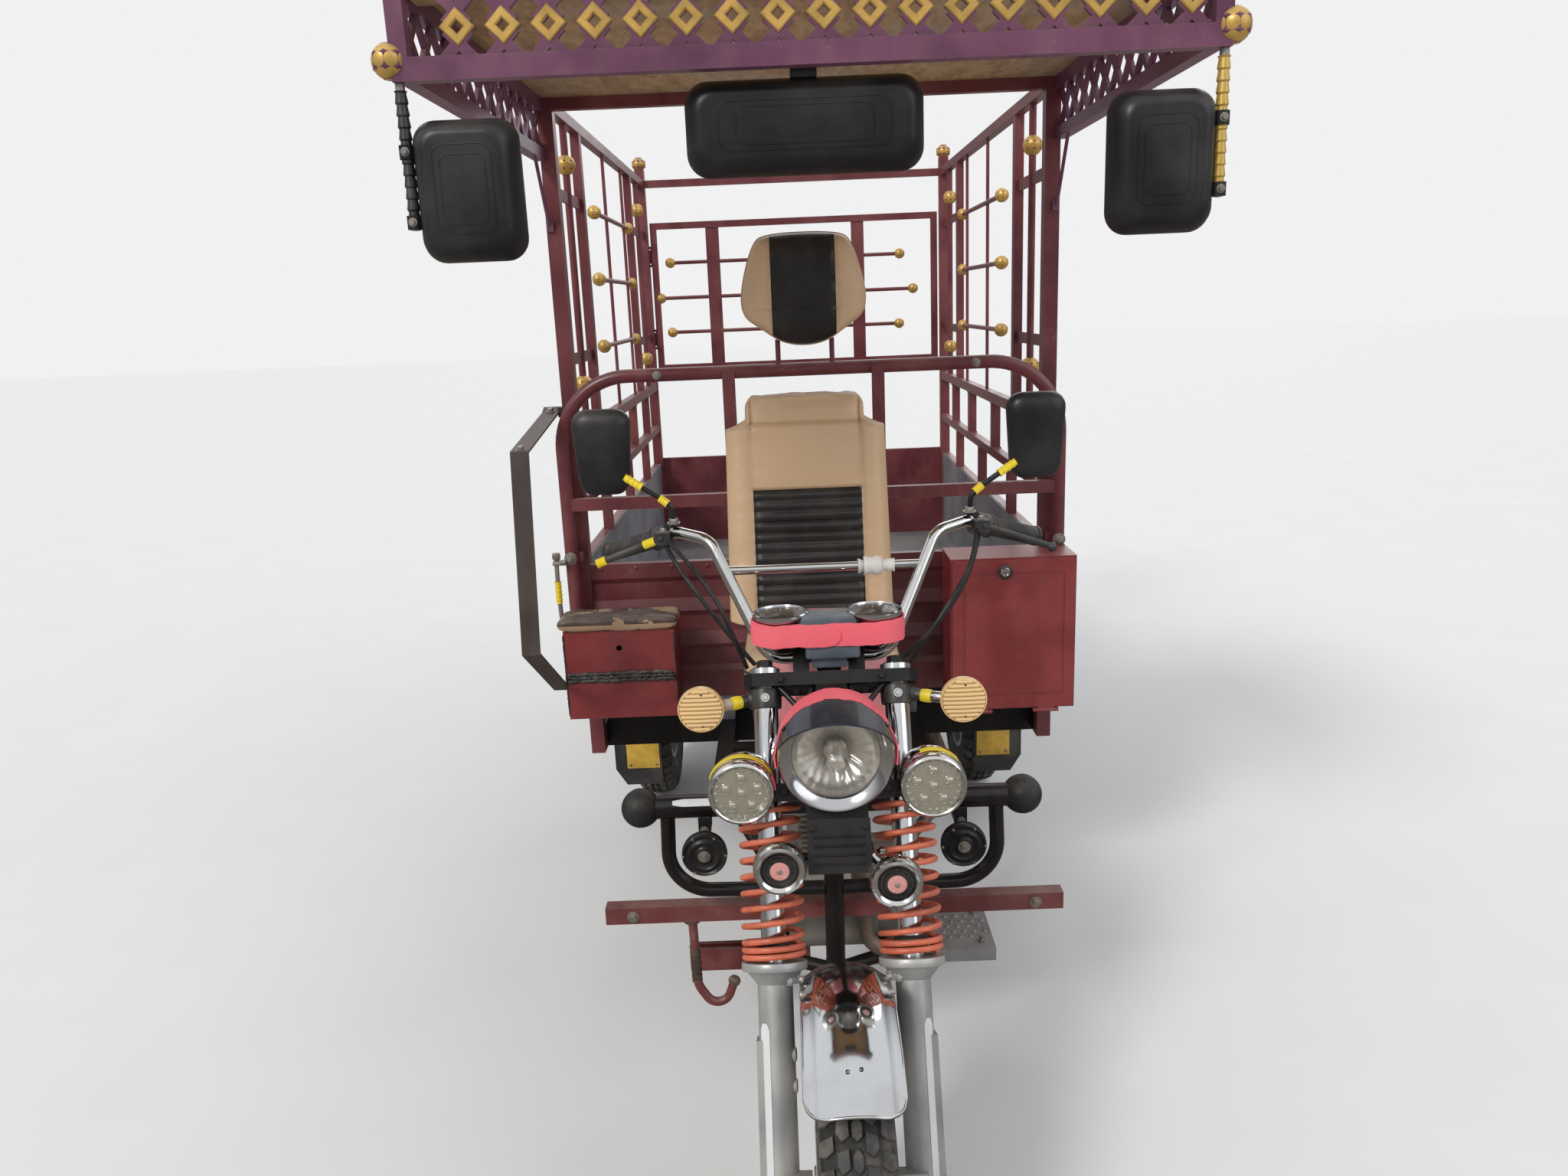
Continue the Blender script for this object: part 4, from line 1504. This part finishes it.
lock = facing((0.442, -0.3603, 0.968), (0, -1, 0))
turned(made, lock, mm(11.2, -6, 17, -9, 17.8, -6, 16, -3, 12.5, -1, 11.8, 0.5), 40, 1)
turned(made, lock, mm(11.2, -4, 11.2, 0.5, 9.8, 1.8, 7.2, 1.8, 6.8, 0.6, 0, 0.6), 36)
slab(made, (0.4411, -0.3626, 0.9638), (0.4429, -0.3598, 0.9722), 0.0003, 1)
put_piece("toolbox_lock", made, (lamp_chrome, weld_black), "large_box_door", "chrome", 40)

# Cargo bed: ribbed walls and a corrugated front in dark red enamel round a galvanised tray. Rows
# of rivets hold the liner, and loops for ropes are welded along the sills.
RIVET = mm(6, -0.2, 5.2, 2.2, 2.5, 3.4, 0, 3.6)
cage_red = painted("cage_red_enamel", (0.15, 0.012, 0.026), wear=0.5, dust=0.32, scale=7.0)
dress(cage_red, "cage_left", "cage_right", "cage_cross_rails", "rear_gate", "seat_hoop", "bed_front",
      "bed_sides", "tailgate", "rear_mudguards")
dress(painted("bed_liner_zinc", (0.33, 0.37, 0.41), bare=(0.16, 0.13, 0.1), wear=0.45, dust=0.5,
              scale=5.0, gloss=0.42, metallic=0.55), "bed_floor")
made = bmesh.new()
for side in (-1, 1):
    for i in range(15):
        y = -0.08 + 0.118 * i
        turned(made, facing((side * 0.6, y, 0.972), (side, 0, 0)), RIVET, 14)
    for i in range(6):
        y = 0.02 + 0.29 * i
        bow = mm(599.5, -24, 617, -24, 620, 0, 617, 24, 599.5, 24)
        swept(made, curved([(side * x, y + along, 0.64) for x, along in bow], 6), 0.0042, 10)
for i in range(13):
    x = -0.54 + 0.09 * i
    turned(made, facing((x, -0.158, 0.968), (0, -1, 0)), RIVET, 14)
put_piece("bed_rivets_and_loops", made, (cage_red,), "chassis", "body_red", 40)
made = bmesh.new()
for side in (-1, 1):
    x = side * 0.42
    slab(made, (x - 0.018, 1.7048, 0.64), (x + 0.018, 1.7075, 0.7), 0.001)
    for z in (0.655, 0.685):
        hex_bolt(made, (x, 1.7075, z), (0, 1, 0), 0.011)
    z = 0.94
    x = side * 0.548
    slab(made, (x - 0.016, 1.7048, z - 0.035), (x + 0.016, 1.7072, z + 0.035), 0.001)
    hook = [(x, y, z + lift) for y, lift in mm(1706.2, 10, 1717, 10, 1722, -4, 1717, -22, 1713, -30)]
    swept(made, curved(hook, 6), 0.0036, 10)
for i in range(13):
    place = facing((-0.54 + 0.09 * i, 1.705, 0.988), (0, 1, 0))
    turned(made, place, RIVET, 14, 1)
put_piece("tailgate_fittings", made, (bolt_zinc, cage_red), "tailgate", "body_red", 40)

# Cage: posts and rails welded from square tube, with ornamental balls on round rods. Each ball is
# pressed from two halves and painted gold, and a bead of weld is left where the tubes meet.
CAGE_X, GATE_Y = 0.58, 1.675
SMALL_BALL, MIDDLE_BALL, LARGE_BALL = 0.0196, 0.0246, 0.0262
gold_paint = painted("lozenge_gold_paint", (0.66, 0.42, 0.1), bare=(0.22, 0.11, 0.05), wear=0.3, dust=0.2,
                     scale=24.0, edge=0.0012, gloss=0.32, metallic=0.45)


def pressed_ball(made, at, along, radius, short=1.0):
    """A ball of two pressed halves with a seam, short at both ends where the rod goes in."""
    place = facing(at, along)
    profile = []
    for k in range(23):
        angle = radians(-86 + 172 * k / 22)
        out = radius * (1.0 - (0.012 if k == 11 else 0.0))
        profile.append((out * cos(angle), out * sin(angle) * short))
    turned(made, place, profile, 36)


made = bmesh.new()
for side in (-1, 1):
    for y in (0.05, 1.47):
        for z in (1.954, 1.415):
            pressed_ball(made, (side * CAGE_X, y, z), (0, 0, 1), MIDDLE_BALL)
    for y in (0.45, 1.164):
        for z in (1.872, 1.688, 1.499):
            pressed_ball(made, (side * CAGE_X, y, z), (0, 1, 0), SMALL_BALL)
    pressed_ball(made, (side * 0.5825, 1.6625, 2.136), (0, 0, 1), LARGE_BALL, 0.93)
    turned(made, Matrix.Translation((side * 0.5825, 1.6625, 2.112)), mm(10, -4, 15, -3, 15.5, 3, 11, 5),
           24)
put_piece("cage_balls", made, (gold_paint,), "chassis", "body_red", 40)
made = bmesh.new()
for x, z in ((-0.486, 1.77), (0.411, 1.77), (-0.53, 1.637), (0.462, 1.637), (-0.493, 1.505),
             (0.406, 1.505)):
    pressed_ball(made, (x, GATE_Y, z), (1, 0, 0), SMALL_BALL)
put_piece("gate_balls", made, (gold_paint,), "rear_gate", "body_red", 40)
picked = random.Random(5)
WELD_HALF = 0.0138
WELD_ROUND = ((1, -1), (1, 0), (1, 1), (0, 1), (-1, 1), (-1, 0), (-1, -1), (0, -1))
made = bmesh.new()
for side in (-1, 1):
    for y in (0.19, 0.533, 0.968, 1.336):
        for z in (1.1452, 1.2818):
            points = [(side * CAGE_X + dx * WELD_HALF, y + dy * WELD_HALF, z) for dx, dy in WELD_ROUND]
            swept(made, points, [0.002 + picked.random() * 0.0014 for _ in points], 8, loop=True)
    for z in (2.0495, 1.2815, 1.3125, 1.1195, 1.1455):
        for x in (side * 0.5655, side * 0.5945):
            swept(made, [(x, -0.1245, z), (x + side * 0.001, -0.1235, z + 0.004),
                         (x, -0.1245, z + 0.009)], (0.0018, 0.0028, 0.0018), 8)
put_piece("cage_welds", made, (cage_red,), "chassis", "body_red", 50)

# Canopy: rails in purple enamel with gold-painted lozenges along the fascia. The roof board is
# plywood, gone grey at its edge, and short blocks of wood sit under it.
dress(painted("canopy_purple_enamel", (0.125, 0.022, 0.085), scale=9.0), "canopy_frame")
made = bmesh.new()
LOZENGE_X, LOZENGE_STEP, LOZENGE_Z = -0.5126, 0.0667, 2.008
for i in range(17):
    x = LOZENGE_X + LOZENGE_STEP * i
    rings = []
    for half, y in ((0.0262, -1.144), (0.0262, -1.1462), (0.0235, -1.1482), (0.0125, -1.1482),
                    (0.01, -1.1466), (0.0088, -1.144)):
        rings.append([made.verts.new((x + dx * half, y, LOZENGE_Z + dz * half))
                      for dx, dz in ((1, 0), (0, 1), (-1, 0), (0, -1))])
    joined_rings(made, rings)
put_piece("fascia_lozenges", made, (gold_paint,), "chassis", "canopy_purple", 30)
made = bmesh.new()
for side in (-1, 1):
    pressed_ball(made, (side * 0.617, -1.14, 1.966), (0, 0, 1), LARGE_BALL)
put_piece("canopy_balls", made, (gold_paint,), "chassis", "canopy_purple", 40)
wood, tree, shader, place = material("weathered_plywood")
grain = put(tree, "ShaderNodeMapping", {"Vector": place, "Scale": (3.0, 1.0, 24.0)}).outputs[0]
lines = noise(tree, grain, 14.0, 8.0, 0.7)
broad = noise(tree, place, 3.2)
tone = mixed(tree, between(tree, lines, 0.35, 0.68), (0.42, 0.255, 0.12, 1), (0.25, 0.135, 0.055, 1))
grey = calculate(tree, "MULTIPLY", between(tree, broad, 0.45, 0.75), 0.55)
tone = mixed(tree, grey, tone, (0.3, 0.27, 0.23, 1))
surfaced(tree, shader, tone, calculate(tree, "MULTIPLY_ADD", lines, 0.2, 0.6), lines, 0.5, 0.0008)
dress(wood, "canopy_roof")
made = bmesh.new()
for x, wide in ((-0.56, 0.045), (-0.18, 0.06), (0.24, 0.06), (0.56, 0.045)):
    slab(made, (x - wide / 2, -1.1255, 2.05), (x + wide / 2, -1.09, 2.0758))
put_piece("roof_blocks", made, (wood,), "chassis", "plywood", 40)

# Canopy mirrors: three large black shells whose glass looks back at the rider. The left stem is
# bound with black tape, the right stem and the rod over the middle one with gold.
made = bmesh.new()
STEM_X, STEM_Y = 0.606, -1.14
ROD_Y, ROD_Z = -1.104, 1.95
CROSSWAYS = Matrix(((0, 0, 1), (1, 0, 0), (0, 1, 0)))
tape_gold = dusted("tape_gold", (0.52, 0.34, 0.07), dust=0.25, scale=26.0, gloss=0.34, Metallic=0.3)
for x, y, z, width, height, deep, corner in (
    (-0.518, -1.152, 1.782, 0.16, 0.205, 0.044, 0.034),
    (0.518, -1.152, 1.782, 0.16, 0.205, 0.044, 0.034),
    (-0.011, ROD_Y, 1.86, 0.364, 0.14, 0.036, 0.036),
):
    place = facing((x, y, z), (0, 1, 0))
    half = deep / 2
    sections = []
    for share, depth in ((1.0, -half), (0.82, -half * 0.96), (0.55, -half * 0.72), (0.3, -half * 0.3),
                         (0.12, half * 0.2), (0.02, half * 0.72), (0.0, half * 0.86), (0.0, half * 0.94),
                         (0.03, half), (0.1, half), (0.115, half * 0.9)):
        inset = share * 0.026
        outline = rounded(width - 2 * inset, height - 2 * inset, max(0.012, corner - inset * 0.4))
        sections.append((outline, depth))
    stacked(made, place, sections, 0, True, False)
    glass = [(px * 0.5, py * 0.5) for px, py in outline]
    stacked(made, place, [sections[-1], (glass, half * 0.902)], 1, False, True)
    for ridge in (0.3, 0.62):
        loop = rounded(width - 0.052 - 0.016 * ridge, height - 0.052 - 0.016 * ridge, corner * 0.6)
        swept(made, [place @ Vector((px * (1 - 0.5 * ridge), py * (1 - 0.5 * ridge), -half - 0.0002))
                     for px, py in loop], 0.0008, 6, loop=True)
for side, mark in ((-1, 2), (1, 3)):
    turned(made, Matrix.Translation((side * STEM_X, STEM_Y, 1.728)), mm(0, 0, 7, 1, 7, 207.5, 0, 208), 20,
           4)
    wound(made, (side * STEM_X, STEM_Y, 1.742), (side * STEM_X, STEM_Y, 1.925), 0.0073, 11, 0.0024, mark)
    for z in (1.74, 1.84):
        swept(made, ((side * STEM_X, STEM_Y, z), (side * 0.592, -1.1405, z), (side * 0.578, -1.141, z)),
              0.005, 12, 4)
        turned(made, facing((side * STEM_X, STEM_Y, z), (0, 0, 1)),
               mm(7.2, -10, 11.8, -10, 11.8, 10, 7.2, 10), 24)
        hex_bolt(made, (side * STEM_X, -1.1518, z), (0, -1, 0), 0.008, 4)
slab(made, (-0.031, -1.116, 1.926), (0.009, -1.092, 1.9415))
for x in (-0.023, 0.002):
    clip = [Vector((x, ROD_Y, ROD_Z)) + CROSSWAYS @ polar(0.0108, a) for a in evenly(28)]
    swept(made, clip, 0.003, 8, loop=True)
wound(made, (-0.205, ROD_Y, ROD_Z), (-0.034, ROD_Y, ROD_Z), 0.0083, 9, 0.0022, 3)
wound(made, (0.012, ROD_Y, ROD_Z), (0.185, ROD_Y, ROD_Z), 0.0083, 9, 0.0022, 3)
put_piece("canopy_mirror_heads", made, (shell_plastic, mirror_glass, tape_black, tape_gold, bolt_zinc),
          "chassis", "mirror_shell", 40, "canopy_mirrors")

# Rear end and flaps: black rubber flaps with bare yellow plates, and tail lamps behind ribbed red
# lenses in the bumper.
dress(dusted("flap_rubber", (0.022, 0.022, 0.023), dust=0.5, scale=9.0), "mud_flaps")
plate_yellow = painted("plate_yellow", (0.7, 0.42, 0.02), bare=(0.22, 0.16, 0.1), dust=0.42, scale=18.0,
                       gloss=0.42)
made = bmesh.new()
for side in (-1, 1):
    low, high = sorted((side * 0.486, side * 0.586))
    slab(made, (low, 0.3048, 0.232), (high, 0.3076, 0.33), 0.0008)
    for x in (low + 0.01, high - 0.01):
        for z in (0.243, 0.319):
            turned(made, facing((x, 0.3048, z), (0, -1, 0)), mm(5, 0, 4.5, 1.8, 2, 2.8, 0, 2.8), 14, 1)
    for k in range(3):
        hex_bolt(made, (low + 0.012 + 0.036 * k, 0.3076, 0.524), (0, -1, 0), 0.011, 1)
put_piece("flap_plates", made, (plate_yellow, bolt_zinc), "chassis", "flap_rubber", 40)
lens_red = dusted("tail_lens_red", (0.42, 0.012, 0.01), dust=0.25, scale=18.0, gloss=0.16, relief=0.1,
                  Coat_Weight=0.6)
made = bmesh.new()
for side in (-1, 1):
    low, high = sorted((side * 0.3402, side * 0.4398))
    slab(made, (low, 1.7064, 0.4692), (high, 1.729, 0.5308), 0.006, 1)
    slab(made, (low + 0.004, 1.726, 0.4732), (high - 0.004, 1.7352, 0.5268), 0.004)
    for k in range(15):
        x = low + 0.0085 + 0.0059 * k
        swept(made, ((x, 1.735, 0.4765), (x, 1.7364, 0.5), (x, 1.735, 0.5235)), 0.002, 8)
    for x in (low + 0.0065, high - 0.0065):
        turned(made, facing((x, 1.735, 0.5), (0, 1, 0)), mm(3.2, 0, 3, 2.2, 1.2, 2.8, 0, 2.8), 12, 2)
put_piece("tail_lamp_lenses", made, (lens_red, shell_plastic, bolt_zinc), "chassis", "lamp_red", 40,
          "tail_lamps")

# The sizes of the CAD model and of the finished one, written before the scene is handed over. Each
# is a box from its lowest corner to its highest, in metres.
low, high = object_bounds()
